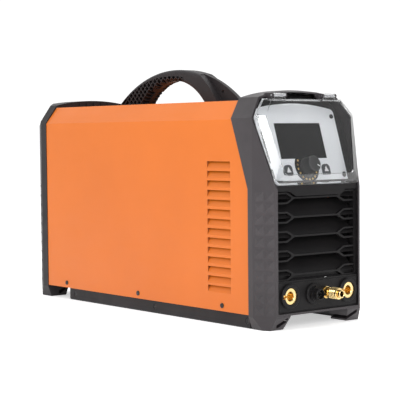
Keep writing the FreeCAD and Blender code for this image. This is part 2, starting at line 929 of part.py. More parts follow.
def rear_hollow(outer, outer_radius, inner, low):
    """Outline of the hollow in the top and the rear leg, open towards the hand opening."""
    skin = outer_radius - 3.5
    foot = outer[0] + math.sqrt(skin**2 - (low - outer[1]) ** 2)
    middle = on_circle(outer, outer_radius - 6.5, 392.0) + ("arc",)
    top = on_circle(outer, outer_radius - 11.5, HOLLOW_FRONT)
    opening = (HOLLOW_FRONT, low + 24.0)
    return [(foot, low), middle, top, opening, (inner[0] + 74.0, low)]


def cheek_ribs(name, start, low):
    """Crossing ribs that stiffen the hollow of the handle."""
    ribs = []
    for index in range(17):
        y = 284.0 + index * 11.0
        for lean in SIDES:
            points = [(y - lean * 26.0, low - 1.0), (y - lean * 26.0 + 2.0, low - 1.0)]
            points += [(y + lean * 26.0 + 2.0, low + 51.0), (y + lean * 26.0, low + 51.0)]
            word = "%s_rib_%d_%d" % (name, index, lean + 1)
            ribs.append(prism(word, "yz", points, start, CHEEK_DEPTH + 10.0))
    return group(name + "_ribs", ribs)


node("handle", make_handle())
inside_top = number_of(size("cover_top") - SHEET)
node(
    "handle_bolts",
    screw_set(
        "handle_bolt_shapes",
        screw_shape(5.5, 4.0, 3.0, 17.0),
        [((0, y, inside_top), (0, 0, 1)) for y in BOLT_Y],
    ),
)


# Front face: grille, connector panel and what is screwed into it.

GRILLE_HALF = 80.2
GRILLE_LOW = 69.4
GRILLE_TOP = 204.4
GRILLE_FACE = 6.5
GRILLE_REAR = 30.0
SLAT_TOP = 186.8
SLAT_PITCH = 27.4
SLAT_COUNT = 5
BLADE_RUN = 0.8
PANEL_FACE = 2.0
PANEL_BACK = 6.5


def slat_outline(middle):
    """A thin bar that forks into a loop at each end."""
    right = [
        (43.0, middle - 1.2),
        (56.5, middle - 8.2),
        (77.6, middle - 8.2),
        (77.6, middle - 5.9),
        (58.0, middle - 5.9),
        (50.0, middle - 2.0),
        (49.0, middle, "arc"),
        (50.0, middle + 2.0),
        (58.0, middle + 5.9),
        (77.6, middle + 5.9),
        (77.6, middle + 8.2),
        (56.5, middle + 8.2),
        (43.0, middle + 1.2),
    ]
    return mirror_points(right)


def blade_outline(index, middle):
    """The sloping blade that rises behind a bar, up to the next bar or to the shelf."""
    rise = 17.0 if index == 0 else 25.0
    back = 10.5 + rise * BLADE_RUN
    return [
        (8.0, middle - 1.0),
        (10.5, middle - 1.0),
        (back, middle - 1.0 + rise),
        (back - 2.0, middle - 1.0 + rise),
    ]


def make_front_grille():
    width = 2 * GRILLE_HALF
    height = GRILLE_TOP - GRILLE_LOW
    frame = block("grille_frame", (-GRILLE_HALF, GRILLE_FACE, GRILLE_LOW), (width, 9.0, height))
    window = block("grille_window", (-77.5, 0.0, GRILLE_LOW + 0.8), (155.0, 40.0, 127.0))
    parts = [cut("grille_ring", frame, [window])]
    flange = block("grille_flange", (-83.8, GRILLE_FACE, GRILLE_LOW), (167.6, 3.0, 122.0))
    parts.append(cut("grille_flange_ring", flange, [window]))
    apron = [(GRILLE_HALF, GRILLE_TOP), (GRILLE_HALF, 196.6), (56.5, 196.6), (42.5, 189.4)]
    parts.append(prism("grille_apron", "xz", mirror_points(apron), 2.5, 8.0))
    shelf_depth = GRILLE_REAR - 2.5
    parts.append(block("grille_shelf", (-GRILLE_HALF, 2.5, GRILLE_TOP - 2.0), (width, shelf_depth, 2.0)))
    parts.append(block("grille_sill", (-77.6, 12.0, GRILLE_LOW), (155.2, 2.0, 9.0)))
    for index in range(SLAT_COUNT):
        middle = SLAT_TOP - index * SLAT_PITCH
        parts.append(prism("slat_%d" % index, "xz", slat_outline(middle), GRILLE_FACE, 4.5))
        parts.append(prism("blade_%d" % index, "yz", blade_outline(index, middle), -77.6, 155.2))
    return fuse("grille_solid", parts)


def make_connector_panel():
    low = BAR_TOP + 0.2
    height = GRILLE_LOW - 0.3 - low
    base = block("connector_base", (-82.0, 3.5, low), (164.0, PANEL_BACK - 3.5, height))
    face = block("connector_face", (-77.4, PANEL_FACE, low + 3.0), (154.8, 1.6, GRILLE_LOW - low - 6.0))
    z = size("connector_height")
    spacing = size("socket_spacing")
    holes = [
        rod("panel_hole_0", (-spacing, -5.0, z), "y", 14.5, 30.0),
        rod("panel_hole_1", (spacing, -5.0, z), "y", 14.5, 30.0),
        rod("panel_hole_2", (size("control_socket_x"), -5.0, z), "y", 8.1, 30.0),
        rod("panel_hole_3", (size("coupler_x"), -5.0, z), "y", 6.1, 30.0),
    ]
    return cut("connector_solid", fuse("connector_plate", [base, face]), holes)


def key_notch(name):
    """The V-shaped notch that guides the key of the cable plug."""
    return prism(name, "xz", [(-4.0, 0.0), (-15.2, 3.6), (-15.2, -3.6)], -8.0, 13.0)


def socket_collar(name):
    """The black ring that insulates an output socket from the panel."""
    inner = size("socket_brass_radius") + 0.1
    ring = size("socket_ring_radius")
    points = [
        (-3.0, inner),
        (-3.0, ring - 1.5),
        (-1.5, ring),
        (PANEL_FACE, ring),
        (PANEL_FACE, 14.4),
        (14.0, 14.4),
        (14.0, inner),
    ]
    return cut(name, turned(name + "_turned", points), [key_notch(name + "_notch")])


def socket_brass(name):
    """The brass insert with its plug bore, key notch and rear stud."""
    outer = size("socket_brass_radius")
    bore = size("socket_bore")
    points = [
        (-1.0, bore + 0.8),
        (-1.0, outer - 0.6),
        (-0.4, outer),
        (18.0, outer),
        (18.0, 9.0),
        (24.0, 9.0),
        (24.0, 5.0),
        (42.0, 5.0),
        (42.0, 0.0),
        (17.0, 0.0),
        (17.0, bore),
        (-0.2, bore),
    ]
    return cut(name, turned(name + "_turned", points), [key_notch(name + "_notch")])


def hexagon(name, across, start, length, axis="y"):
    """A hexagonal bar along Y or Z, centred on the axis."""
    reach = across / math.sqrt(3)
    points = []
    for corner in range(6):
        angle = math.radians(30 + 60 * corner)
        points.append((reach * math.cos(angle), reach * math.sin(angle)))
    return prism(name, "xz" if axis == "y" else "xy", points, start, length)


def make_control_socket():
    """The round socket for the torch switch and the remote control."""
    flange = turned(
        "control_flange",
        [(-2.5, 0.0), (-2.5, 13.6), (-1.0, 15.0), (PANEL_FACE, 15.0), (PANEL_FACE, 0.0)],
    )
    nut = hexagon("control_hexagon", 20.0, -5.5, 4.0)
    barrel = turned("control_barrel", [(-14.0, 0.0), (-14.0, 7.4), (-13.4, 8.0), (13.0, 8.0), (13.0, 0.0)])
    bore = rod("control_bore", (0, -20.0, 0), "y", 6.6, 50.0)
    key = block("control_key", (-1.2, -13.0, 5.2), (2.4, 9.0, 2.0))
    solid = cut("control_shell_bored", fuse("control_shell_parts", [flange, nut, barrel]), [bore])
    return fuse("control_shell_solid", [solid, key])


def control_pin_places():
    return [(3.6 * math.cos(math.radians(a)), 3.6 * math.sin(math.radians(a))) for a in range(30, 390, 60)]


def make_control_insert():
    disc = turned("control_insert_disc", [(-5.0, 0.0), (-5.0, 6.5), (11.0, 6.5), (11.0, 0.0)])
    notch = block("control_insert_notch", (-1.4, -20.0, 5.0), (2.8, 40.0, 3.0))
    holes = [
        rod("insert_hole_%d" % index, (x, -20.0, z), "y", 0.8, 50.0)
        for index, (x, z) in enumerate(control_pin_places())
    ]
    return cut("control_insert_solid", disc, [notch] + holes)


def make_control_pins():
    places = enumerate(control_pin_places())
    return group(
        "control_pin_group",
        [rod("pin_%d" % i, (x, -11.0, z), "y", 0.8, 27.0) for i, (x, z) in places],
    )


COUPLER_NECK = 5.0
COUPLER_BORE = 4.0
SLEEVE_FRONT = -26.0
SLEEVE_REAR = -10.5


def make_gas_outlet():
    """The quick coupler for the torch gas hose, with a hose tail behind the panel."""
    tip = -size("coupler_reach")
    points = [
        (tip, COUPLER_BORE + 0.6),
        (tip, 5.2),
        (tip + 0.6, 5.8),
        (-26.6, 5.8),
        (-26.6, COUPLER_NECK),
        (-6.0, COUPLER_NECK),
        (-6.0, 6.5),
        (0.0, 6.5),
        (0.0, 8.6),
        (PANEL_FACE, 8.6),
        (PANEL_FACE, 6.0),
        (16.0, 6.0),
        (16.0, 3.4),
        (34.0, 3.4),
        (34.0, 2.0),
        (-9.0, 2.0),
        (-9.0, COUPLER_BORE),
        (tip + 0.6, COUPLER_BORE),
    ]
    nut = hexagon("coupler_hexagon", 14.0, -6.0, 6.0)
    hollow = rod("coupler_hollow", (0, -8.0, 0), "y", 4.5, 10.0)
    return fuse("coupler_solid", [turned("coupler_turned", points), cut("coupler_nut", nut, [hollow])])


def make_gas_sleeve():
    """The grooved sleeve that is pulled back to release the hose plug."""
    inner = COUPLER_NECK + 0.05
    points = [(SLEEVE_FRONT, inner), (SLEEVE_FRONT, 7.4), (SLEEVE_FRONT + 1.2, 8.4)]
    groove = SLEEVE_FRONT + 3.0
    while groove < SLEEVE_REAR - 3.0:
        points += [(groove, 8.4), (groove + 0.5, 7.8), (groove + 1.1, 7.8), (groove + 1.6, 8.4)]
        groove += 3.0
    points += [(SLEEVE_REAR - 0.8, 8.4), (SLEEVE_REAR, 7.6), (SLEEVE_REAR, inner)]
    return turned("gas_sleeve_solid", points)


connector_z = size("connector_height")
node("front_grille", make_front_grille())
node("connector_panel", make_connector_panel())
for word, side in (("left", -1), ("right", 1)):
    at = (side * size("socket_spacing"), 0, connector_z)
    node("socket_collar_" + word, socket_collar("collar_" + word), at)
    node("socket_brass_" + word, socket_brass("brass_" + word), at)
control_at = (size("control_socket_x"), 0, connector_z)
node("control_socket_shell", make_control_socket(), control_at)
node("control_socket_insert", make_control_insert(), control_at)
node("control_pins", make_control_pins(), control_at)
coupler_at = (size("coupler_x"), 0, connector_z)
node("gas_outlet_body", make_gas_outlet(), coupler_at)
node("gas_sleeve", make_gas_sleeve(), coupler_at)


# The leaning control panel. Its frame: X across, Y up the slope, Z out of the panel.

PLATE = size("plate_thickness")
CARRIER = 3.0
BOARD_BACK = -19.0
BOARD_FACE = -17.4
PANEL_SCREW_X = 73.5
PANEL_SCREW_V = (-12.7, 76.9)
POINTER_ANGLE = -29.0
LID_TILT = 2.8
LID_LOW = -31.0
BUTTON_HALF = 7.6
BUTTON_LOW = -7.1
BUTTON_HIGH = 7.1


def button_outline(x, grow):
    """The outline of a push button: square at the foot, round at the head."""
    drop = -number_of(size("button_drop"))
    half = BUTTON_HALF + grow
    low = drop + BUTTON_LOW - grow
    high = drop + BUTTON_HIGH + grow
    return [
        (x + half, low),
        (x + half, high - 5.5),
        (x + half - 1.7, high - 1.7, "arc"),
        (x + half - 5.5, high),
        (x - half + 5.5, high),
        (x - half + 1.7, high - 1.7, "arc"),
        (x - half, high - 5.5),
        (x - half, low),
    ]


def panel_outline():
    half = size("plate_half_width")
    low = size("plate_bottom")
    side_top = size("plate_side_top") - 4.0
    return [
        (half, low),
        (half, side_top),
        (half - 1.4, side_top + 5.6, "arc"),
        (half - 7.0, side_top + 8.8),
        (0.0, size("plate_crown"), "arc"),
        (-half + 7.0, side_top + 8.8),
        (-half + 1.4, side_top + 5.6, "arc"),
        (-half, side_top),
        (-half, low),
    ]


def make_panel_carrier():
    right = [(90.2, -24.3), (97.0, 16.0), (97.2, 73.2), (77.0, 101.5)]
    left = [(-x, v) for x, v in reversed(right)]
    outline = right + [(0.0, 113.0, "arc")] + left
    body = prism("carrier_body", "xy", outline, -(PLATE + CARRIER), CARRIER)
    tools = [
        block("carrier_window", (-48.0, 10.0, -20.0), (96.0, 59.0, 40.0)),
        rod("carrier_bush_hole", (0, 0, -20.0), "z", 3.8, 40.0),
    ]
    for word, side in (("left", -1), ("right", 1)):
        outline = button_outline(side * number_of(size("button_spread")), 1.4)
        tools.append(prism("carrier_button_" + word, "xy", outline, -20.0, 40.0))
    for index, (x, v) in enumerate(panel_screw_places()):
        tools.append(rod("carrier_screw_%d" % index, (x, v, -20.0), "z", 1.55, 40.0))
    return cut("carrier_solid", body, tools)


def panel_screw_places():
    return [(side * PANEL_SCREW_X, v) for side in SIDES for v in PANEL_SCREW_V]


def make_panel_plate():
    body = prism("plate_body", "xy", panel_outline(), -PLATE, PLATE)
    window = [
        (size("lcd_half_width"), size("lcd_bottom")),
        (size("lcd_half_width"), size("lcd_top")),
        (-size("lcd_half_width"), size("lcd_top")),
        (-size("lcd_half_width"), size("lcd_bottom")),
    ]
    opening = new_sketch(body, "plate_window", ROLES["xy"])
    draw_outline(opening, window)
    pocket(body, opening, 10.0)
    tools = [rod("plate_bush_hole", (0, 0, -20.0), "z", 3.8, 40.0)]
    for word, side in (("left", -1), ("right", 1)):
        outline = button_outline(side * number_of(size("button_spread")), 0.2)
        tools.append(prism("plate_button_" + word, "xy", outline, -20.0, 40.0))
    for index, (x, v) in enumerate(panel_screw_places()):
        tools.append(rod("plate_screw_%d" % index, (x, v, -20.0), "z", 1.8, 40.0))
    return cut("plate_solid", body, tools)


def make_lcd_window():
    half = size("lcd_half_width") - 0.1
    low = size("lcd_bottom") + 0.1
    high = size("lcd_top") - 0.1
    return prism(
        "lcd_glass",
        "xy",
        [(half, low), (half, high), (-half, high), (-half, low)],
        -PLATE,
        PLATE - 0.4,
    )


def make_button(side):
    """A cap with a flange that holds it behind the plate and a stem to its switch."""
    word = "left" if side < 0 else "right"
    x = side * number_of(size("button_spread"))
    cap = prism("cap_" + word, "xy", button_outline(x, 0.0), -2.5, 4.1)
    flange = prism("flange_" + word, "xy", button_outline(x, 1.0), -4.0, 1.8)
    stem = rod("stem_" + word, (x, -size("button_drop"), -11.2), "z", 2.0, 8.0)
    return fuse("button_solid_" + word, [cap, flange, stem])


def make_knob():
    """The fluted turning knob, hollow below, with a pointer groove."""
    radius = size("knob_radius")
    top = size("knob_top")
    points = [
        (2.4, radius - 1.8),
        (2.4, radius),
        (4.2, radius),
        (5.0, radius - 0.7),
        (top - 1.5, radius - 1.5),
        (top, radius - 3.0),
        (top, 0.0),
        (12.0, 0.0),
        (12.0, 3.0),
        (5.0, 3.0),
        (5.0, 5.6),
        (7.0, 5.6),
        (7.0, radius - 1.8),
    ]
    body = turned("knob_body", points, "z")
    tools = []
    for index in range(24):
        angle = math.radians(index * 15.0)
        x, v = 13.0 * math.cos(angle), 13.0 * math.sin(angle)
        tools.append(rod("flute_%d" % index, (x, v, 6.0), "z", 0.7, 20.0))
    turn = Rotation(Vector(0, 0, 1), POINTER_ANGLE)
    groove = block(
        "pointer_groove",
        turn.multVec(Vector(4.0, -0.9, number_of(top) - 0.7)),
        (12.0, 1.8, 3.0),
    )
    groove.Placement = Placement(groove.Placement.Base, turn)
    return cut("knob_solid", body, tools + [groove])


def make_encoder_body():
    """The push-and-turn encoder with its bush and nut."""
    case = block("encoder_case", (-6.5, -6.5, BOARD_FACE), (13.0, 13.0, 11.4))
    bush = rod("encoder_bush", (0, 0, -6.5), "z", 3.7, 9.0)
    nut = hexagon("encoder_nut", 9.0, 0.0, 1.8, "z")
    bore = rod("encoder_bore", (0, 0, -16.0), "z", 3.05, 30.0)
    room = rod("encoder_room", (0, 0, -14.0), "z", 5.2, 7.0)
    return cut("encoder_solid", fuse("encoder_parts", [case, bush, nut]), [bore, room])


def make_encoder_rotor():
    wheel = rod("rotor_wheel", (0, 0, -13.8), "z", 5.0, 6.6)
    bore = rod("rotor_bore", (0, 0, -20.0), "z", 3.05, 40.0)
    return cut("rotor_solid", wheel, [bore])


def make_control_board():
    """The circuit board with the two switches under the buttons and a flat-cable socket."""
    board = block("board_sheet", (-70.0, -20.0, BOARD_BACK), (140.0, 100.0, BOARD_FACE - BOARD_BACK))
    parts = [board]
    for side in SIDES:
        x = side * size("button_spread") - 3.0
        corner = (x, -size("button_drop") - 3.0, BOARD_FACE - 0.2)
        parts.append(block("switch_%d" % (side + 1), corner, (6.0, 6.0, 5.2)))
    parts.append(block("cable_socket", (-20.0, 60.0, BOARD_BACK - 7.0), (40.0, 8.0, 7.2)))
    return fuse("board_solid", parts)


def make_board_standoffs():
    bars = []
    for side in SIDES:
        for v in (-14.0, 74.0):
            name = "standoff_%d_%d" % (side + 1, v)
            length = -number_of(PLATE) - CARRIER - BOARD_FACE
            bars.append(rod(name.replace("-", "m"), (side * 64.0, v, BOARD_FACE), "z", 3.0, length))
    return group("standoff_group", bars)


def lid_outline(inset, top_inset):
    """The lid's outline; it follows the edge of the bezel."""
    low = LID_LOW + inset
    bottom = 84.0 - inset * 1.15
    bend = 98.0 - inset
    shoulder = 79.0 - inset * 0.8
    right = [
        (bottom - 7.0, low),
        (bottom - 1.6, low + 1.9, "arc"),
        (bottom + 0.9, low + 7.0),
        (bend, 73.2 - inset * 0.3),
        (shoulder, 96.5 - top_inset),
    ]
    return mirror_points(right)


def lid_sketch(body, name, offset, inset, top_inset):
    sketch = new_sketch(body, name, ROLES["xy"], offset)
    draw_outline(sketch, lid_outline(inset, top_inset))
    return sketch


def make_clear_lid():
    """The see-through lid: a shallow tray with bevelled sides, hung from two lugs.

    It rests on its lower edge and stands a little off the bezel at the hinge."""
    seat = size("lid_seat")
    wall = size("lid_wall")
    bevel = number_of(size("lid_bevel"))
    thick = number_of(wall)
    body = new_body("lid_body")
    outer_low = lid_sketch(body, "lid_outer_low", seat, 0.0, 0.0)
    outer_high = lid_sketch(body, "lid_outer_high", seat + size("lid_rise"), bevel, 3.0)
    skin = body.newObject("PartDesign::AdditiveLoft", "lid_skin")
    skin.Profile = outer_low
    skin.Sections = [outer_high]
    skin.Ruled = True
    body.Tip = skin
    inner_low = lid_sketch(body, "lid_inner_low", seat - 0.05, thick * 1.5, thick)
    inner_high = lid_sketch(
        body,
        "lid_inner_high",
        seat + size("lid_rise") - wall,
        bevel + 0.8,
        3.0 + thick,
    )
    hollow = body.newObject("PartDesign::SubtractiveLoft", "lid_hollow")
    hollow.Profile = inner_low
    hollow.Sections = [inner_high]
    hollow.Ruled = True
    body.Tip = hollow
    pivot = Vector(0.0, LID_LOW, number_of(seat))
    body.Placement = Placement(Vector(), Rotation(Vector(1, 0, 0), LID_TILT), pivot)
    v, w = size("hinge_v"), size("hinge_w")
    parts = [body]
    holes = []
    for word, side in (("left", -1), ("right", 1)):
        start = side * LUG_CENTRE - LUG_HALF
        parts.append(rod("lug_" + word, (start, v, w), "x", 3.4, 2 * LUG_HALF))
        parts.append(block("arm_" + word, (start, v - 7.0, w - 2.6), (2 * LUG_HALF, 7.0, 4.6)))
        holes.append(
            rod("lug_hole_" + word, (start - 1.0, v, w), "x", PIN_RADIUS + 0.05, 2 * LUG_HALF + 2.0)
        )
    return cut("lid_solid", fuse("lid_parts", parts), holes)


def make_hinge_pins():
    length = 2 * (LUG_HALF + 0.3 + EAR_THICKNESS)
    v, w = size("hinge_v"), size("hinge_w")
    pins = [
        rod("hinge_pin_%d" % index, (side * LUG_CENTRE - length / 2, v, w), "x", PIN_RADIUS, length)
        for index, side in enumerate(SIDES)
    ]
    return group("hinge_pin_group", pins)


panel_node("panel_carrier", make_panel_carrier())
panel_node("control_panel_plate", make_panel_plate())
panel_node(
    "panel_screws",
    screw_set(
        "panel_screw_shapes",
        screw_shape(3.4, 1.6, 1.5, 4.6),
        [((x, v, 0.0), (0, 0, -1)) for x, v in panel_screw_places()],
    ),
)
panel_node("lcd_window", make_lcd_window())
panel_node(
    "lcd_module",
    group("lcd_module_box", [block("lcd_module_case", (-47.6, 10.4, -11.0), (95.2, 58.2, 9.0))]),
)
panel_node(
    "dial_ring",
    cut(
        "dial_ring_solid",
        rod("dial_disc", (0, 0, 0), "z", size("dial_radius"), 1.6),
        [
            rod("dial_hole", (0, 0, -5.0), "z", 7.0, 20.0),
            block("dial_top", (-30.0, size("lcd_bottom") - 0.2, -5.0), (60.0, 20.0, 20.0)),
        ],
    ),
)
panel_node("encoder_body", make_encoder_body())
panel_node("encoder_rotor", make_encoder_rotor())
panel_node("knob_shaft", group("knob_shaft_set", [rod("knob_shaft_bar", (0, 0, -9.5), "z", 3.0, 21.5)]))
panel_node("control_knob", make_knob())
panel_node("button_left", make_button(-1))
panel_node("button_right", make_button(1))
panel_node("control_board", make_control_board())
panel_node("board_standoffs", make_board_standoffs())
panel_node("clear_lid", make_clear_lid())
panel_node("lid_hinge_pins", make_hinge_pins())


# Rear face: panel, fan, mains switch, cable gland and gas inlet.

REAR_FACE = 591.5
REAR_SHEET = 1.5
REAR_HALF = 92.2
FAN_HALF = size("fan_size") / 2
FAN_REAR = 589.9
FAN_DEPTH = 25.0
FAN_BORE = 57.5
FAN_SCREW = 52.5
GUARD_Y = 593.6
EYELET_TOP = 594.9
SWITCH_X = -50.0
SWITCH_Z = 292.0
ROCKER_Y = 588.0
ROCKER_ANGLE = 8.0
GLAND_X = 50.0
INLET_X = -55.0


def bar(name, start, end, radius):
    """A round bar between two points."""
    item = doc.addObject("Part::Cylinder", name)
    first, last = Vector(*start), Vector(*end)
    bind(item, "Radius", radius)
    bind(item, "Height", (last - first).Length)
    item.Placement = Placement(first, Rotation(Vector(0, 0, 1), last - first))
    return item


def fan_corners(reach):
    """The four points at an equal reach around the fan's axis, as X and Z."""
    z = number_of(size("fan_z"))
    return [(sx * reach, z + sz * reach) for sx in SIDES for sz in SIDES]


def make_rear_panel():
    outline = [
        (REAR_HALF, BAR_TOP + 0.3),
        (REAR_HALF, size("bend_height")),
        (size("shoulder_half_width") - 4.0, size("shoulder_height") - 7.0),
        (0.0, size("rear_crown_height") - 4.7, "arc"),
        (-size("shoulder_half_width") + 4.0, size("shoulder_height") - 7.0),
        (-REAR_HALF, size("bend_height")),
        (-REAR_HALF, BAR_TOP + 0.3),
    ]
    sheet_body = prism("rear_sheet", "xz", outline, REAR_FACE - REAR_SHEET, REAR_SHEET)
    z = size("connector_height")
    tools = [
        rod("rear_fan_hole", (0, 580.0, size("fan_z")), "y", 55.0, 30.0),
        rod("rear_gland_hole", (GLAND_X, 580.0, z), "y", 10.0, 30.0),
        rod("rear_inlet_hole", (INLET_X, 580.0, z), "y", 6.1, 30.0),
        block("rear_switch_hole", (SWITCH_X - 15.8, 580.0, SWITCH_Z - 12.4), (31.6, 30.0, 24.8)),
    ]
    for index, (x, height) in enumerate(rear_screw_places()):
        tools.append(rod("rear_screw_hole_%d" % index, (x, 580.0, height), "y", SCREW_HOLE, 30.0))
    return cut("rear_panel_solid", sheet_body, tools)


def rear_screw_places():
    """X and Z of the screws: four at the corners of the panel, four around the fan."""
    return REAR_BOSSES + fan_corners(FAN_SCREW)


def make_rear_screws():
    places = []
    for index, (x, z) in enumerate(rear_screw_places()):
        seat = REAR_FACE if index < 4 else EYELET_TOP
        places.append(((x, seat, z), (0, -1, 0)))
    return screw_set("rear_screw_shapes", screw_shape(3.6, 2.0, SCREW_SHANK, 12.0), places)


def make_fan_frame():
    z = size("fan_z")
    start = FAN_REAR - FAN_DEPTH
    case = block("fan_case", (-FAN_HALF, start, z - FAN_HALF), (FAN_HALF * 2, FAN_DEPTH, FAN_HALF * 2))
    tools = [rod("fan_tunnel", (0, start - 1.0, z), "y", FAN_BORE, FAN_DEPTH + 2.0)]
    for index, (x, height) in enumerate(fan_corners(FAN_SCREW)):
        tools.append(
            rod("fan_screw_hole_%d" % index, (x, start - 1.0, height), "y", SCREW_SHANK + 0.05, 30.0)
        )
    parts = [cut("fan_ring", case, tools)]
    parts.append(rod("fan_hub", (0, start, z), "y", 20.0, 3.5))
    parts.append(rod("fan_pin", (0, start, z), "y", 2.0, 21.0))
    parts.append(block("fan_strut_across", (-58.0, start, z - 2.0), (116.0, 3.5, 4.0)))
    parts.append(block("fan_strut_upright", (-2.0, start, z - 58.0), (4.0, 3.5, 116.0)))
    return fuse("fan_frame_solid", parts)


def make_fan_rotor():
    """Hub and seven pitched blades, turned about the fan's pin."""
    blades, pitch = 7, 35.0
    chord, thickness = 26.0, 1.6
    root, tip = 18.0, 54.5
    middle = FAN_REAR - 11.9
    hub = Part.makeCylinder(20.0, 17.8, Vector(0, middle - 8.9, 0), Vector(0, 1, 0))
    wheel = hub
    for index in range(blades):
        blade = Part.makeBox(chord, thickness, tip - root, Vector(-chord / 2, -thickness / 2, root))
        blade.rotate(Vector(), Vector(0, 0, 1), pitch)
        blade.translate(Vector(0, middle, 0))
        blade.rotate(Vector(), Vector(0, 1, 0), index * 360.0 / blades)
        wheel = wheel.fuse(blade)
    bore = Part.makeCylinder(2.04, 40.0, Vector(0, middle - 20.0, 0), Vector(0, 1, 0))
    return loose_shape("fan_rotor_solid", wheel.cut(bore))


def make_fan_guard():
    """Concentric wires on two crossing bars, with an eyelet at each corner."""
    z = number_of(size("fan_z"))
    parts = []
    for index, radius in enumerate((13.0, 25.0, 37.0, 49.0)):
        ring = doc.addObject("Part::Torus", "guard_ring_%d" % index)
        ring.Radius1 = radius
        ring.Radius2 = 0.9
        ring.Placement = Placement(Vector(0, GUARD_Y, z), TURNS["y"])
        parts.append(ring)
    for lean in SIDES:
        start = (-FAN_SCREW + 3.0, GUARD_Y, z - lean * (FAN_SCREW - 3.0))
        end = (FAN_SCREW - 3.0, GUARD_Y, z + lean * (FAN_SCREW - 3.0))
        parts.append(bar("guard_bar_%d" % (lean + 1), start, end, 1.1))
    for index, (x, height) in enumerate(fan_corners(FAN_SCREW)):
        eyelet = rod("eyelet_%d" % index, (x, REAR_FACE, height), "y", 4.4, EYELET_TOP - REAR_FACE)
        hole = rod("eyelet_hole_%d" % index, (x, REAR_FACE - 1.0, height), "y", SCREW_HOLE, 8.0)
        parts.append(cut("eyelet_ring_%d" % index, eyelet, [hole]))
    return fuse("fan_guard_solid", parts)


def make_switch_body():
    flange = block("switch_flange", (-17.6, REAR_FACE, -14.4), (35.2, 1.6, 28.8))
    case = block("switch_case", (-15.7, REAR_FACE - 18.5, -12.3), (31.4, 18.6, 24.6))
    tools = [
        block("switch_well", (-13.0, REAR_FACE - 14.5, -10.8), (26.0, 30.0, 21.6)),
        rod("switch_pivot_hole", (-14.4, ROCKER_Y, 0), "x", 1.55, 28.8),
    ]
    return cut("switch_body_solid", fuse("switch_body_parts", [flange, case]), tools)


def make_rocker():
    """The rocker at rest with its upper edge out, on its pivot."""
    profile = [(5.2, -9.8), (3.4, 0.0), (5.2, 9.8), (-4.0, 8.0), (-8.0, 3.0), (-8.0, -3.0), (-4.0, -8.0)]
    angle = math.radians(ROCKER_ANGLE)
    turned_profile = [
        (y * math.cos(angle) + z * math.sin(angle), z * math.cos(angle) - y * math.sin(angle))
        for y, z in profile
    ]
    body = prism("rocker_body", "yz", turned_profile, -12.8, 25.6)
    pivot = rod("rocker_pivot", (-14.2, 0, 0), "x", 1.5, 28.4)
    return fuse("rocker_solid", [body, pivot])


def make_cable_gland():
    """A screwed gland with a dome nut; its bore is empty."""
    points = [
        (-19.0, 9.0),
        (-18.0, 9.9),
        (0.0, 9.9),
        (0.0, 12.0),
        (14.0, 12.0),
        (20.0, 8.0),
        (20.0, 5.5),
        (-19.0, 5.5),
    ]
    hollow = rod("gland_hollow", (0, -30.0, 0), "y", 8.0, 70.0)
    nuts = [hexagon("gland_outer_hexagon", 26.0, 0.0, 9.0), hexagon("gland_inner_hexagon", 25.0, -7.0, 5.4)]
    rings = [cut("gland_nut_%d" % index, nut, [hollow]) for index, nut in enumerate(nuts)]
    return fuse("gland_solid", [turned("gland_turned", points)] + rings)


def make_gas_inlet():
    """The ridged hose tail for the shielding gas, with a second tail inside."""
    reach = size("body_length") + size("coupler_reach") - REAR_FACE
    points = [
        (-28.0, 2.0),
        (-28.0, 3.4),
        (-13.5, 3.4),
        (-13.5, 6.0),
        (0.0, 6.0),
        (0.0, 8.0),
        (8.0, 8.0),
        (8.0, 4.2),
    ]
    for ridge in range(5):
        start = 24.0 + ridge * 5.4
        points += [(start, 3.9), (start, 5.0), (start + 4.2, 4.0)]
    points += [(reach, 3.9), (reach, 2.0)]
    nut = hexagon("inlet_hexagon", 17.0, 0.0, 7.0)
    hollow = rod("inlet_hollow", (0, -5.0, 0), "y", 5.0, 30.0)
    return fuse("inlet_solid", [turned("inlet_turned", points), cut("inlet_nut", nut, [hollow])])


node("rear_panel", make_rear_panel())
node("rear_screws", make_rear_screws())
node("fan_frame", make_fan_frame())
node("fan_rotor", make_fan_rotor(), (0, 0, size("fan_z")))
node("fan_guard", make_fan_guard())
node("power_switch_body", make_switch_body(), (SWITCH_X, 0, SWITCH_Z))
node("power_rocker", make_rocker(), (SWITCH_X, ROCKER_Y, SWITCH_Z))
node("cable_gland", make_cable_gland(), (GLAND_X, REAR_FACE, connector_z))
node("gas_inlet", make_gas_inlet(), (INLET_X, REAR_FACE, connector_z))


# The works inside: power board, heatsinks, transformer, choke, gas valve and hoses.

BOARD_LOW = 56.0
BOARD_TOP = 57.6
BOARD_HALF = 90.0
BOARD_START = 220.0
BOARD_END = 480.0
TRAY_FLOOR = 22.0
SINK_START = 250.0
SINK_LENGTH = 150.0
SINK_HEIGHT = 100.0
SINK_FACE = 32.0
FIN_PITCH = 12.5
CORE_Y = 330.0
VALVE_Y = 524.0
VALVE_LOW = 38.0
VALVE_TOP = 57.0
HOSE_BORE = 3.45
HOSE_RADIUS = 5.5


def make_standoffs():
    bars = []
    for side in SIDES:
        for index, y in enumerate((232.0, 350.0, 468.0)):
            name = "power_standoff_%d_%d" % (side + 1, index)
            bars.append(rod(name, (side * 82.0, y, TRAY_FLOOR), "z", 4.0, BOARD_LOW - TRAY_FLOOR))
    return group("power_standoff_group", bars)


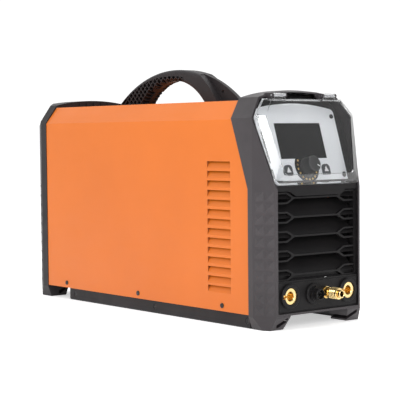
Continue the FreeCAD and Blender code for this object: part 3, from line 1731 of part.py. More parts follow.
def make_heatsink(side):
    """An upright plate with level fins on its outer side."""
    word = "left" if side < 0 else "right"
    plate = (SINK_FACE, SINK_FACE + 6.0)
    reach = (SINK_FACE + 5.0, 88.0)
    parts = []
    low = min(side * plate[0], side * plate[1])
    corner = (low, SINK_START, BOARD_TOP)
    parts.append(block("sink_plate_" + word, corner, (6.0, SINK_LENGTH, SINK_HEIGHT)))
    low = min(side * reach[0], side * reach[1])
    for index in range(8):
        corner = (low, SINK_START, BOARD_TOP + index * FIN_PITCH)
        parts.append(
            block("sink_fin_%s_%d" % (word, index), corner, (reach[1] - reach[0], SINK_LENGTH, 2.5))
        )
    return fuse("heatsink_" + word, parts)


def make_power_modules():
    """A row of transistors on one heatsink and a row of diodes on the other."""
    modules = []
    for side in SIDES:
        for index in range(6):
            name = "module_%d_%d" % (side + 1, index)
            y = SINK_START + 12.0 + index * 22.0
            left = SINK_FACE - 5.0 if side > 0 else -SINK_FACE
            parts = [block(name + "_case", (left, y, 66.0), (5.0, 16.0, 21.0))]
            for lead in range(3):
                corner = (left + 2.2, y + 2.0 + lead * 5.4, BOARD_TOP)
                parts.append(block("%s_lead_%d" % (name, lead), corner, (0.6, 1.2, 9.0)))
            modules.append(fuse(name, parts))
    return group("module_group", modules)


def make_transformer_core():
    height, half, leg, window = 56.0, 33.0, 10.0, 14.0
    core = block("core_block", (-14.0, CORE_Y - half, BOARD_TOP), (28.0, 2 * half, height))
    tools = []
    for side in SIDES:
        start = CORE_Y + leg if side > 0 else CORE_Y - leg - window
        corner = (-20.0, start, BOARD_TOP + 9.0)
        tools.append(block("core_window_%d" % (side + 1), corner, (40.0, window, height - 18.0)))
    return cut("core_solid", core, tools)


def make_transformer_winding():
    outer = block("winding_outer", (-22.0, CORE_Y - 22.5, BOARD_TOP + 9.2), (44.0, 45.0, 37.6))
    inner = block("winding_inner", (-14.1, CORE_Y - 10.1, BOARD_TOP), (28.2, 20.2, 60.0))
    grooves = []
    for index in range(8):
        low = BOARD_TOP + 12.5 + index * 4.2
        wide = block("groove_outer_%d" % index, (-30.0, CORE_Y - 30.0, low), (60.0, 60.0, 1.0))
        keep = block("groove_keep_%d" % index, (-21.2, CORE_Y - 21.7, low - 1.0), (42.4, 43.4, 3.0))
        grooves.append(cut("groove_%d" % index, wide, [keep]))
    return cut("winding_solid", outer, [inner] + grooves)


def make_choke():
    """A ring core wound with heavy flat wire."""
    turns, low, high = 20, 0.0, 34.0
    rim = [(low, 20.0), (low, 44.0), (high, 44.0), (high, 20.0)]
    core = [(low + 2.0, 22.0), (low + 2.0, 42.0), (high - 2.0, 42.0), (high - 2.0, 22.0)]
    slots = []
    for index in range(turns):
        slot = doc.addObject("Part::Box", "turn_gap_%d" % index)
        slot.Length, slot.Width, slot.Height = 40.0, 2.2, 60.0
        turn = Rotation(Vector(0, 0, 1), index * 360.0 / turns)
        slot.Placement = Placement(turn.multVec(Vector(15.0, -1.1, -10.0)), turn)
        slots.append(slot)
    wound = cut("choke_turns", turned("choke_rim", rim, "z"), slots)
    return fuse("choke_solid", [turned("choke_core", core, "z"), wound])


def make_output_bars():
    """Copper straps from the output studs to the choke and to the output heatsink."""
    parts = [
        block("bar_left_plate", (-66.0, 37.0, 30.0), (16.0, 2.0, 29.0)),
        block("bar_left_leg", (-66.0, 37.0, 30.0), (16.0, 129.0, 2.0)),
        block("bar_left_turn", (-66.0, 150.0, 30.0), (31.8, 16.0, 2.0)),
    ]
    left = fuse("bar_left_parts", parts)
    fin = BOARD_TOP + FIN_PITCH
    parts = [
        block("bar_right_plate", (50.0, 37.0, 36.0), (28.0, 2.0, 23.0)),
        block("bar_right_leg", (64.0, 37.0, 36.0), (14.0, 179.0, 2.0)),
        block("bar_right_riser", (64.0, 214.0, 36.0), (14.0, 2.0, fin - 34.0)),
        block("bar_right_end", (64.0, 214.0, fin), (14.0, SINK_START - 214.0, 2.0)),
    ]
    right = fuse("bar_right_parts", parts)
    bars = []
    for word, side, strap in (("left", -1, left), ("right", 1, right)):
        hole = rod(
            "bar_hole_" + word,
            (side * size("socket_spacing"), 30.0, size("connector_height")),
            "y",
            5.05,
            20.0,
        )
        bars.append(cut("bar_" + word, strap, [hole]))
    return group("output_bar_group", bars)


def make_valve_body():
    """The valve block on its foot, with a hose tail at each end and the plunger's bore."""
    z = size("connector_height")
    parts = [
        block(
            "valve_foot",
            (INLET_X - 10.0, VALVE_Y - 8.0, TRAY_FLOOR),
            (20.0, 16.0, VALVE_LOW - TRAY_FLOOR + 0.5),
        ),
        block(
            "valve_block",
            (INLET_X - 12.0, VALVE_Y - 12.0, VALVE_LOW),
            (24.0, 24.0, VALVE_TOP - VALVE_LOW),
        ),
        rod("valve_tails", (INLET_X, VALVE_Y - 26.0, z), "y", 3.4, 50.0),
    ]
    tools = [
        rod("valve_way", (INLET_X, VALVE_Y - 40.0, z), "y", 2.0, 80.0),
        rod("valve_bore", (INLET_X, VALVE_Y, z + 3.0), "z", 4.05, 20.0),
    ]
    return cut("valve_solid", fuse("valve_parts", parts), tools)


def make_valve_coil():
    points = [
        (0.0, 4.05),
        (0.0, 13.0),
        (1.0, 14.0),
        (29.0, 14.0),
        (30.0, 13.0),
        (30.0, 0.0),
        (22.0, 0.0),
        (22.0, 4.05),
    ]
    return turned("coil_solid", points, "z")


def hose(name, points):
    """A hollow hose along straight runs joined by tangent arcs."""
    corners = [Vector(*[number_of(value) for value in point]) for point in points]
    edges = []
    start = corners[0]
    for index in range(1, len(corners) - 1):
        before = corners[index] - corners[index - 1]
        after = corners[index + 1] - corners[index]
        half_turn = before.getAngle(after) / 2
        shorter = min(before.Length, after.Length)
        setback = 0.45 * shorter
        radius = setback / math.tan(half_turn)
        first = corners[index] - before.normalize() * setback
        last = corners[index] + after.normalize() * setback
        inward = (after - before).normalize()
        middle = corners[index] + inward * (radius / math.cos(half_turn) - radius)
        edges.append(Part.LineSegment(start, first).toShape())
        edges.append(Part.Arc(first, middle, last).toShape())
        start = last
    edges.append(Part.LineSegment(start, corners[-1]).toShape())
    path = Part.Wire(edges)
    direction = corners[1] - corners[0]
    tubes = []
    for radius in (HOSE_RADIUS, HOSE_BORE):
        section = Part.Wire([Part.makeCircle(radius, corners[0], direction)])
        tubes.append(path.makePipeShell([section], True, True))
    shape = tubes[0].cut(tubes[1])
    expected = math.pi * (HOSE_RADIUS**2 - HOSE_BORE**2) * path.Length
    if abs(shape.Volume - expected) > 0.02 * expected:
        raise RuntimeError(name + " has the wrong volume")
    return loose_shape(name, shape)


def make_hoses():
    z = size("connector_height")
    near, bend = 18.0, 76.0
    front = [
        (size("coupler_x"), near, z),
        (size("coupler_x"), bend, z),
        (INLET_X, bend, z),
        (INLET_X, VALVE_Y - 13.0, z),
    ]
    rear = [(INLET_X, VALVE_Y + 13.0, z), (INLET_X, REAR_FACE - 14.5, z)]
    return group("hose_group", [hose("hose_front", front), hose("hose_rear", rear)])


board_size = (2 * BOARD_HALF, BOARD_END - BOARD_START, BOARD_TOP - BOARD_LOW)
node(
    "power_board",
    group("power_board_sheet", [block("board_plate", (-BOARD_HALF, BOARD_START, BOARD_LOW), board_size)]),
)
node("power_standoffs", make_standoffs())
node("heatsink_input", make_heatsink(-1))
node("heatsink_output", make_heatsink(1))
node("power_modules", make_power_modules())
cans = [
    rod("can_%d" % index, (x, 450.0, BOARD_TOP), "z", 17.5, 50.0)
    for index, x in enumerate((-55.0, 0.0, 55.0))
]
node("bus_capacitors", group("can_group", cans))
node("transformer_core", make_transformer_core())
node("transformer_winding", make_transformer_winding())
node("output_choke", make_choke(), (10.0, 165.0, TRAY_FLOOR))
node("output_bars", make_output_bars())
node("gas_valve_body", make_valve_body())
node("gas_valve_coil", make_valve_coil(), (INLET_X, VALVE_Y, VALVE_TOP))
node(
    "gas_valve_plunger",
    group("plunger", [rod("plunger_rod", (0, 0, 0), "z", 4.0, 24.0)]),
    (INLET_X, VALVE_Y, 50.7),
)
node("gas_hoses", make_hoses())


doc.recompute()


def report_broken():
    """Names of the objects that failed to compute."""
    return [item.Name for item in doc.Objects if {"Invalid", "Error"} & set(item.State)]


os.makedirs("parts", exist_ok=True)
broken = report_broken()
if broken:
    raise RuntimeError("failed: " + ", ".join(broken))
for item in NODES:
    shape = item.Shape
    if shape.isNull() or not shape.isValid():
        raise RuntimeError("bad shape: " + item.Label)
    shape.exportStep("parts/%s.step" % item.Label)
    box = shape.BoundBox
    low = (box.XMin, box.YMin, box.ZMin)
    high = (box.XMax, box.YMax, box.ZMax)
    print("%-24s %3d %10.0f" % (item.Label, len(shape.Solids), shape.Volume), end="")
    print("  (%.1f, %.1f, %.1f) (%.1f, %.1f, %.1f)" % (low + high))
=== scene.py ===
import json
import math

import bmesh
import bpy
from mathutils import Matrix, Vector


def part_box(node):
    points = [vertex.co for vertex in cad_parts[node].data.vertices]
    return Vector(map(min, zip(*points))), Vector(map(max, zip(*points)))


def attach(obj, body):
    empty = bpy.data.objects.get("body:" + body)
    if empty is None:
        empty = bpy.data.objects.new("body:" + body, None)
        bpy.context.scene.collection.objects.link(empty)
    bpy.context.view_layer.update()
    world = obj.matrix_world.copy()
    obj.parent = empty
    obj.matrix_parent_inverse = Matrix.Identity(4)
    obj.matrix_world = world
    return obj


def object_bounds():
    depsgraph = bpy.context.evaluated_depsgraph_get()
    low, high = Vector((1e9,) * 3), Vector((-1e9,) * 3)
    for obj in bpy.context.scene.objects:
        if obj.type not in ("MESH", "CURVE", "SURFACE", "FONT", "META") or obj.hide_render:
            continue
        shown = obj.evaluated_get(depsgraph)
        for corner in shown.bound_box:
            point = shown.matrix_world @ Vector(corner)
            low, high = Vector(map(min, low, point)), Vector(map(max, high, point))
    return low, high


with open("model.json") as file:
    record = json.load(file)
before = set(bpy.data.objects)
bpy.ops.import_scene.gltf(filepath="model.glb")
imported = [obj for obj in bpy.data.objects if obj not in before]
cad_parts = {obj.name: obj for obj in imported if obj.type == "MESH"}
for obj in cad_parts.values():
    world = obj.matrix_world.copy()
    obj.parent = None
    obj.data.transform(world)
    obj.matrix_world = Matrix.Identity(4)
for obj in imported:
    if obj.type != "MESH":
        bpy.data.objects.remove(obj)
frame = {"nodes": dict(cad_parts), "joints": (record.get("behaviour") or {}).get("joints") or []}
cad_low, cad_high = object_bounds()
scene = bpy.context.scene
MM = 0.001


# Materials. Object coordinates are metres, so noise scales below are per metre.

PATCH_SPAN = (0.35, 0.65)
ROUGH_SPAN = (0.3, 0.7)
MIDDLE_HEIGHT = 0.17


class Shader:
    """A small builder for one procedural material."""

    def __init__(self, name):
        self.material = bpy.data.materials.new(name)
        self.material.use_nodes = True
        self.tree = self.material.node_tree
        self.tree.nodes.clear()
        output = self.add("ShaderNodeOutputMaterial")
        self.principled = self.add("ShaderNodeBsdfPrincipled")
        self.link(self.principled.outputs[0], output.inputs["Surface"])
        self.place = self.add("ShaderNodeTexCoord").outputs["Object"]

    def add(self, kind, **settings):
        node = self.tree.nodes.new(kind)
        for key, value in settings.items():
            setattr(node, key, value)
        return node

    def link(self, start, end):
        self.tree.links.new(start, end)

    def noise(self, scale, detail=3.0, stretch=None):
        node = self.add("ShaderNodeTexNoise")
        node.inputs["Scale"].default_value = scale
        node.inputs["Detail"].default_value = detail
        node.inputs["Roughness"].default_value = 0.55
        source = self.place
        if stretch:
            mapping = self.add("ShaderNodeMapping")
            mapping.inputs["Scale"].default_value = stretch
            self.link(source, mapping.inputs["Vector"])
            source = mapping.outputs["Vector"]
        self.link(source, node.inputs["Vector"])
        return node.outputs["Fac"]

    def cells(self, scale, feature="F1"):
        node = self.add("ShaderNodeTexVoronoi", feature=feature)
        node.inputs["Scale"].default_value = scale
        self.link(self.place, node.inputs["Vector"])
        return node.outputs["Distance"]

    def spread(self, value, low, high, start=0.0, end=1.0):
        """The value's span low to high mapped onto start to end, held at both ends."""
        node = self.add("ShaderNodeMapRange")
        node.inputs["From Min"].default_value = low
        node.inputs["From Max"].default_value = high
        node.inputs["To Min"].default_value = start
        node.inputs["To Max"].default_value = end
        self.link(value, node.inputs["Value"])
        return node.outputs["Result"]

    def patches(self, scale, detail=4.0):
        """Soft patches between 0 and 1."""
        return self.spread(self.noise(scale, detail), *PATCH_SPAN)

    def uneven(self, scale, detail, low, high, stretch=None):
        """A value that wanders between low and high over the surface."""
        return self.spread(self.noise(scale, detail, stretch), *ROUGH_SPAN, low, high)

    def times(self, first, second):
        node = self.add("ShaderNodeMath", operation="MULTIPLY")
        for socket, value in zip(node.inputs, (first, second)):
            if isinstance(value, float):
                socket.default_value = value
            else:
                self.link(value, socket)
        return node.outputs[0]

    def blend(self, factor, first, second):
        """A colour between two colours or colour outputs."""
        node = self.add("ShaderNodeMix", data_type="RGBA")
        self.link(factor, node.inputs["Factor"])
        for socket, value in ((node.inputs[6], first), (node.inputs[7], second)):
            if isinstance(value, tuple):
                socket.default_value = value + (1.0,)
            else:
                self.link(value, socket)
        return node.outputs[2]

    def edges(self, radius, low=0.02, high=0.25):
        """1 on sharp edges within a radius, 0 on flat surface."""
        soft = self.add("ShaderNodeBevel", samples=4)
        soft.inputs["Radius"].default_value = radius
        sharp = self.add("ShaderNodeNewGeometry")
        dot = self.add("ShaderNodeVectorMath", operation="DOT_PRODUCT")
        self.link(soft.outputs["Normal"], dot.inputs[0])
        self.link(sharp.outputs["Normal"], dot.inputs[1])
        return self.spread(dot.outputs["Value"], 1.0 - low, 1.0 - high)

    def facing_out(self):
        """1 on faces turned away from the machine's long middle line, 0 on its inner faces; the mask for
        the painted inside shade.
        """
        surface_data = self.add("ShaderNodeNewGeometry")
        offset = self.add("ShaderNodeVectorMath", operation="MULTIPLY_ADD")
        self.link(surface_data.outputs["Position"], offset.inputs[0])
        offset.inputs[1].default_value = (1.0, 0.0, 1.0)
        offset.inputs[2].default_value = (0.0, 0.0, -MIDDLE_HEIGHT)
        dot = self.add("ShaderNodeVectorMath", operation="DOT_PRODUCT")
        self.link(offset.outputs["Vector"], dot.inputs[0])
        self.link(surface_data.outputs["Normal"], dot.inputs[1])
        return self.spread(dot.outputs["Value"], -0.002, 0.002)

    def bump(self, height, distance, strength, after=None):
        node = self.add("ShaderNodeBump")
        node.inputs["Distance"].default_value = distance
        node.inputs["Strength"].default_value = strength
        self.link(height, node.inputs["Height"])
        if after is not None:
            self.link(after, node.inputs["Normal"])
        return node.outputs["Normal"]

    def set(self, **values):
        """Set or link the shader's sockets; an underscore in a key stands for a space."""
        for key, value in values.items():
            socket = self.principled.inputs[key.replace("_", " ")]
            if isinstance(value, (int, float)):
                socket.default_value = value
            elif isinstance(value, tuple):
                socket.default_value = value + (1.0,)
            else:
                self.link(value, socket)


def surface(
    name,
    light,
    dark,
    rough,
    metallic=0.0,
    grain=1400.0,
    grain_depth=0.00003,
    patches=14.0,
    worn=None,
    worn_amount=0.5,
    edge=0.0008,
    stretch=None,
    gloss=0.5,
    painted_inside_shade=None,
):
    """A solid finish: two tints in soft patches, fine grain, uneven gloss and worn edges.

    With a painted inside shade, faces turned towards the machine's middle get that colour: a dark painted
    shade on inner faces that lie only in shadow."""
    shader = Shader(name)
    colour = shader.blend(shader.patches(patches), dark, light)
    fine = shader.noise(grain, 2.0, stretch)
    if worn:
        chipped = shader.spread(shader.noise(180.0, 5.0), 0.38, 0.62)
        mask = shader.times(shader.edges(edge), chipped)
        colour = shader.blend(shader.times(mask, worn_amount), colour, worn)
    # Inner faces get the near-black colour: painted shade for the inside of the shell, not the colour of
    # its paint.
    if painted_inside_shade:
        colour = shader.blend(shader.facing_out(), painted_inside_shade, colour)
    shader.set(
        Base_Color=colour,
        Roughness=shader.uneven(45.0, 5.0, *rough, stretch=(1.0, 0.35, 1.0)),
        Metallic=metallic,
        Specular_IOR_Level=gloss,
        Normal=shader.bump(fine, grain_depth, 0.6),
    )
    return shader.material


def leather_grain(
    name, light, dark, rough, cell=700.0, depth=0.00006, worn=(0.12, 0.115, 0.12), gloss=0.5
):
    """Moulded plastic with an etched texture."""
    shader = Shader(name)
    colour = shader.blend(shader.patches(9.0), dark, light)
    rubbed = shader.spread(shader.noise(160.0, 5.0), 0.35, 0.6)
    mask = shader.times(shader.edges(0.0009), rubbed)
    colour = shader.blend(shader.times(mask, 0.55), colour, worn)
    pits = shader.spread(shader.cells(cell), 0.0, 0.8)
    etched = shader.bump(pits, depth, 0.7)
    shader.set(
        Base_Color=colour,
        Roughness=shader.uneven(38.0, 5.0, *rough),
        Specular_IOR_Level=gloss,
        Normal=shader.bump(shader.noise(2600.0, 2.0), 0.00002, 0.4, etched),
    )
    return shader.material


def clear_sheet():
    """Polycarbonate with faint haze, fine scratches and frosted edges."""
    shader = Shader("clear_lid_plastic")
    scratches = shader.noise(600.0, 3.0, (1.0, 0.04, 0.04))
    edge = shader.edges(0.0011, 0.01, 0.12)
    haze = shader.spread(shader.noise(30.0, 4.0), 0.4, 0.7, 0.015, 0.05)
    frosted = shader.add("ShaderNodeMath", operation="MAXIMUM")
    shader.link(haze, frosted.inputs[0])
    shader.link(shader.times(edge, 0.6), frosted.inputs[1])
    shader.set(
        Base_Color=(0.97, 0.975, 0.98),
        Roughness=frosted.outputs[0],
        IOR=1.5,
        Transmission_Weight=1.0,
        Normal=shader.bump(scratches, 0.000004, 0.3),
    )
    return shader.material


def display_glass():
    """A dark unlit display behind satin glass, with a faint pixel grain."""
    shader = Shader("display_dark")
    pixels = shader.uneven(3500.0, 1.0, 0.0, 1.0)
    shader.set(
        Base_Color=shader.blend(pixels, (0.004, 0.0038, 0.004), (0.007, 0.0065, 0.007)),
        Roughness=shader.uneven(20.0, 3.0, 0.3, 0.38),
        Specular_IOR_Level=0.12,
    )
    return shader.material


def wound_copper():
    """Enamelled copper with the lines of the turns."""
    shader = Shader("enamelled_copper")
    lines = shader.noise(900.0, 2.0, (1.0, 1.0, 0.05))
    turns = shader.spread(lines, *PATCH_SPAN)
    shader.set(
        Base_Color=shader.blend(turns, (0.42, 0.13, 0.04), (0.72, 0.3, 0.12)),
        Metallic=0.85,
        Roughness=shader.uneven(60.0, 4.0, 0.25, 0.42),
        Normal=shader.bump(lines, 0.0001, 0.5),
    )
    return shader.material


def circuit_board():
    """Green solder mask with faint tracks."""
    shader = Shader("circuit_board")
    tracks = shader.spread(shader.cells(160.0, "DISTANCE_TO_EDGE"), 0.02, 0.06)
    shader.set(
        Base_Color=shader.blend(tracks, (0.05, 0.24, 0.1), (0.012, 0.1, 0.04)),
        Roughness=shader.uneven(50.0, 3.0, 0.3, 0.5),
        Normal=shader.bump(tracks, 0.00005, 0.5),
    )
    return shader.material


BLACK = leather_grain(
    "moulded_black", light=(0.040, 0.033, 0.037), dark=(0.026, 0.0215, 0.024), rough=(0.42, 0.56)
)
BLACK_MATT = leather_grain(
    "moulded_black_matt",
    light=(0.020, 0.0165, 0.018),
    dark=(0.013, 0.0105, 0.0115),
    rough=(0.46, 0.6),
    cell=900.0,
    depth=0.00005,
    worn=(0.08, 0.076, 0.08),
    gloss=0.3,
)
BLACK_DARK = leather_grain(
    "moulded_black_deep",
    light=(0.012, 0.011, 0.0115),
    dark=(0.008, 0.0075, 0.008),
    rough=(0.4, 0.52),
    cell=1200.0,
    depth=0.00003,
    worn=(0.06, 0.058, 0.06),
    gloss=0.16,
)
# The skids' black is darker than the other mouldings: painted shade for the shadowed underside along the
# rails.
SKID_PAINTED_SHADE = leather_grain(
    "moulded_black_skid_painted_shade",
    light=(0.02, 0.0175, 0.019),
    dark=(0.013, 0.0115, 0.0125),
    rough=(0.45, 0.58),
    cell=900.0,
    depth=0.00005,
    worn=(0.07, 0.068, 0.07),
    gloss=0.25,
)
KNOB = leather_grain(
    "knob_plastic",
    light=(0.05, 0.049, 0.05),
    dark=(0.026, 0.026, 0.027),
    rough=(0.3, 0.42),
    cell=900.0,
    depth=0.00012,
    worn=(0.2, 0.2, 0.2),
)
BUTTON = leather_grain(
    "button_rubber",
    light=(0.07, 0.075, 0.085),
    dark=(0.05, 0.055, 0.062),
    rough=(0.5, 0.62),
    cell=1500.0,
    depth=0.00003,
    worn=(0.14, 0.14, 0.15),
)
ORANGE = surface(
    "orange_powder_coat",
    light=(0.64, 0.150, 0.0105),
    dark=(0.60, 0.138, 0.0085),
    rough=(0.34, 0.44),
    grain=1800.0,
    grain_depth=0.00002,
    patches=6.0,
    worn=(0.95, 0.42, 0.2),
    worn_amount=0.35,
    edge=0.0007,
    gloss=0.38,
    # Near-black on the cover's inner faces: painted shade, not the colour of the orange paint.
    painted_inside_shade=(0.03, 0.03, 0.03),
)
BLACK_PAINT = surface(
    "black_powder_coat",
    light=(0.03, 0.03, 0.031),
    dark=(0.02, 0.02, 0.021),
    rough=(0.4, 0.55),
    worn=(0.2, 0.2, 0.2),
)
SILVER = surface(
    "silver_panel",
    light=(0.93, 0.95, 0.97),
    dark=(0.89, 0.91, 0.94),
    rough=(0.3, 0.38),
    grain=2400.0,
    grain_depth=0.00001,
    patches=20.0,
    worn=(0.85, 0.86, 0.88),
    worn_amount=0.3,
    edge=0.0004,
)
STEEL = surface(
    "bright_zinc",
    light=(0.62, 0.63, 0.65),
    dark=(0.5, 0.5, 0.53),
    rough=(0.22, 0.36),
    metallic=1.0,
    grain=900.0,
    patches=60.0,
    worn=(0.8, 0.8, 0.82),
    edge=0.0004,
)
DARK_STEEL = surface(
    "black_oxide",
    light=(0.05, 0.05, 0.052),
    dark=(0.03, 0.03, 0.03),
    rough=(0.3, 0.42),
    metallic=0.7,
    grain=900.0,
    patches=60.0,
    worn=(0.35, 0.34, 0.34),
    worn_amount=0.6,
    edge=0.0004,
)
BRASS = surface(
    "turned_brass",
    light=(0.88, 0.67, 0.33),
    dark=(0.8, 0.58, 0.25),
    rough=(0.16, 0.3),
    metallic=1.0,
    grain=1500.0,
    grain_depth=0.00002,
    patches=70.0,
    worn=(0.98, 0.8, 0.42),
    worn_amount=0.6,
    edge=0.0004,
    stretch=(1.0, 0.1, 1.0),
)
ALUMINIUM = surface(
    "extruded_aluminium",
    light=(0.72, 0.73, 0.75),
    dark=(0.6, 0.61, 0.63),
    rough=(0.28, 0.42),
    metallic=1.0,
    grain=700.0,
    grain_depth=0.00004,
    patches=30.0,
    stretch=(1.0, 0.04, 1.0),
)
FERRITE = surface(
    "ferrite",
    light=(0.04, 0.04, 0.043),
    dark=(0.025, 0.025, 0.027),
    rough=(0.5, 0.7),
    grain=900.0,
    grain_depth=0.0001,
    worn=(0.12, 0.12, 0.12),
)
CHIP = surface(
    "black_epoxy",
    light=(0.02, 0.02, 0.021),
    dark=(0.012, 0.012, 0.013),
    rough=(0.35, 0.5),
    grain=1500.0,
    grain_depth=0.00004,
)
HOSE = surface(
    "gas_hose",
    light=(0.03, 0.035, 0.06),
    dark=(0.02, 0.022, 0.04),
    rough=(0.4, 0.55),
    grain=600.0,
    grain_depth=0.00008,
)
SLEEVE = surface(
    "capacitor_sleeve",
    light=(0.02, 0.03, 0.07),
    dark=(0.015, 0.02, 0.05),
    rough=(0.2, 0.32),
    grain=500.0,
)
WHITE_INK = surface(
    "white_ink",
    light=(0.9, 0.9, 0.9),
    dark=(0.82, 0.82, 0.82),
    rough=(0.4, 0.5),
    grain=2600.0,
    grain_depth=0.00001,
    patches=200.0,
)
GOLD_INK = surface(
    "gold_ink",
    light=(0.85, 0.6, 0.2),
    dark=(0.7, 0.45, 0.12),
    rough=(0.25, 0.36),
    metallic=0.7,
    grain=2600.0,
    grain_depth=0.00001,
    patches=200.0,
)
COPPER = wound_copper()
BOARD = circuit_board()
CLEAR = clear_sheet()
DISPLAY = display_glass()

FINISHES = {
    "front_bezel": BLACK,
    "rear_bezel": BLACK_MATT,
    "handle": BLACK_MATT,
    "rail_left": SKID_PAINTED_SHADE,
    "rail_right": SKID_PAINTED_SHADE,
    "base_tray": BLACK_PAINT,
    "rear_panel": BLACK_PAINT,
    "cover_shell": ORANGE,
    "cover_screws": DARK_STEEL,
    "rail_screws": DARK_STEEL,
    "handle_bolts": STEEL,
    "front_grille": BLACK_DARK,
    "connector_panel": BLACK_DARK,
    "socket_collar_left": BLACK_DARK,
    "socket_collar_right": BLACK_DARK,
    "socket_brass_left": BRASS,
    "socket_brass_right": BRASS,
    "control_socket_shell": BLACK_DARK,
    "control_socket_insert": CHIP,
    "control_pins": DARK_STEEL,
    "gas_outlet_body": BRASS,
    "gas_sleeve": BRASS,
    "panel_carrier": BLACK_DARK,
    "control_panel_plate": SILVER,
    "panel_screws": DARK_STEEL,
    "lcd_window": DISPLAY,
    "lcd_module": CHIP,
    "dial_ring": BLACK_DARK,
    "encoder_body": STEEL,
    "encoder_rotor": CHIP,
    "knob_shaft": STEEL,
    "control_knob": KNOB,
    "button_left": BUTTON,
    "button_right": BUTTON,
    "control_board": BOARD,
    "board_standoffs": STEEL,
    "clear_lid": CLEAR,
    "lid_hinge_pins": STEEL,
    "rear_screws": DARK_STEEL,
    "fan_frame": CHIP,
    "fan_rotor": CHIP,
    "fan_guard": STEEL,
    "power_switch_body": BLACK_DARK,
    "power_rocker": KNOB,
    "cable_gland": BLACK_DARK,
    "gas_inlet": BRASS,
    "power_board": BOARD,
    "power_standoffs": STEEL,
    "heatsink_input": ALUMINIUM,
    "heatsink_output": ALUMINIUM,
    "power_modules": CHIP,
    "bus_capacitors": SLEEVE,
    "transformer_core": FERRITE,
    "transformer_winding": COPPER,
    "output_choke": COPPER,
    "output_bars": COPPER,
    "gas_valve_body": BRASS,
    "gas_valve_coil": CHIP,
    "gas_valve_plunger": STEEL,
    "gas_hoses": HOSE,
}
for name, finish in FINISHES.items():
    part = frame["nodes"][name]
    for part_slot in part.material_slots:
        part_slot.material = finish


# Ink on the control panel. The panel's frame has its origin 10 mm outwards of the knob's joint:
# X across, Y up the slope and Z outwards.

knob_joint = next(joint for joint in frame["joints"] if joint["name"] == "knob_turn")
OUT = Vector(knob_joint["axis"]).normalized()
ACROSS = Vector((1.0, 0.0, 0.0))
UP = OUT.cross(ACROSS)
PANEL = Matrix((ACROSS, UP, OUT)).transposed().to_4x4()
PANEL.translation = Vector(knob_joint["pos_m"]) + OUT * 10.0 * MM

INK_LOW = 1.5 * MM
MARK_TOP = 1.78 * MM
MARK_MIDDLE = -4.0 * MM
MARK_HALF = 4.4 * MM
MARK_FOOT = 4.2 * MM
MARK_ROUND = 1.4 * MM

DOT_TOP = 1.75 * MM
DOT_RING = 18.4 * MM
DOT_RADIUS = 1.7 * MM
DOT_LIMIT = 10.2 * MM
DOT_COUNT = 18
DOT_SIDES = 16

POINTER_ANGLE = math.radians(-29.0)
POINTER_START = 5.0 * MM
POINTER_END = 10.2 * MM
POINTER_HALF = 0.85 * MM
POINTER_LOW = 18.2 * MM
POINTER_TOP = 18.95 * MM


def new_piece(name, mesh, finish, body):
    """An object from a bmesh, with its finish, riding on a body."""
    data = bpy.data.meshes.new(name)
    bmesh.ops.recalc_face_normals(mesh, faces=mesh.faces)
    mesh.to_mesh(data)
    mesh.free()
    piece = bpy.data.objects.new(name, data)
    scene.collection.objects.link(piece)
    data.materials.append(finish)
    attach(piece, body)


def extruded(outline, low, high, chamfer, transform):
    """A bmesh slab with an outline, chamfered round its upper edge."""
    mesh = bmesh.new()
    centre = sum((Vector(point) for point in outline), Vector((0.0, 0.0))) / len(outline)
    rings = []
    for height, inset in ((low, 0.0), (high - chamfer, 0.0), (high, chamfer)):
        ring = []
        for point in outline:
            away = Vector(point) - centre
            flat = centre + away * (1.0 - inset / away.length)
            ring.append(mesh.verts.new(transform @ Vector((flat.x, flat.y, height))))
        rings.append(ring)
    count = len(outline)
    for lower, upper in zip(rings, rings[1:]):
        for index in range(count):
            following = (index + 1) % count
            mesh.faces.new((lower[index], lower[following], upper[following], upper[index]))
    mesh.faces.new(rings[-1])
    mesh.faces.new(list(reversed(rings[0])))
    return mesh


def rounded(points, radius, steps=4):
    """An outline with each corner replaced by a short curve."""
    result = []
    count = len(points)
    for index in range(count):
        corner = Vector(points[index])
        before = (Vector(points[index - 1]) - corner).normalized()
        after = (Vector(points[(index + 1) % count]) - corner).normalized()
        for step in range(steps + 1):
            share = step / steps
            start = corner + before * radius * (1.0 - share)
            end = corner + after * radius * share
            result.append(tuple(start * (1.0 - share) + end * share))
    return result


def build_button_marks():
    """A white triangle on each of the two buttons."""
    for word in ("left", "right"):
        low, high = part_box("button_" + word)
        x = (PANEL.inverted() @ ((low + high) / 2)).x
        foot = MARK_MIDDLE - MARK_FOOT
        points = [(x - MARK_HALF, foot), (x + MARK_HALF, foot), (x, MARK_MIDDLE + MARK_HALF)]
        mesh = extruded(rounded(points, MARK_ROUND), INK_LOW, MARK_TOP, 0.1 * MM, PANEL)
        new_piece("button_mark_" + word, mesh, WHITE_INK, word + "_button")


def build_dial_dots():
    """A ring of gold dots round the knob, open at the top under the display."""
    mesh = bmesh.new()
    for index in range(DOT_COUNT):
        angle = math.radians((index + 0.5) * 360.0 / DOT_COUNT)
        centre = Vector((DOT_RING * math.cos(angle), DOT_RING * math.sin(angle)))
        if centre.y > DOT_LIMIT:
            continue
        outline = []
        for step in range(DOT_SIDES):
            turn = math.radians(step * 360.0 / DOT_SIDES)
            outline.append((centre.x + DOT_RADIUS * math.cos(turn), centre.y + DOT_RADIUS * math.sin(turn)))
        dot = extruded(outline, INK_LOW, DOT_TOP, 0.12 * MM, PANEL)
        data = bpy.data.meshes.new("dot")
        dot.to_mesh(data)
        dot.free()
        mesh.from_mesh(data)
        bpy.data.meshes.remove(data)
    new_piece("dial_dots", mesh, GOLD_INK, "machine")


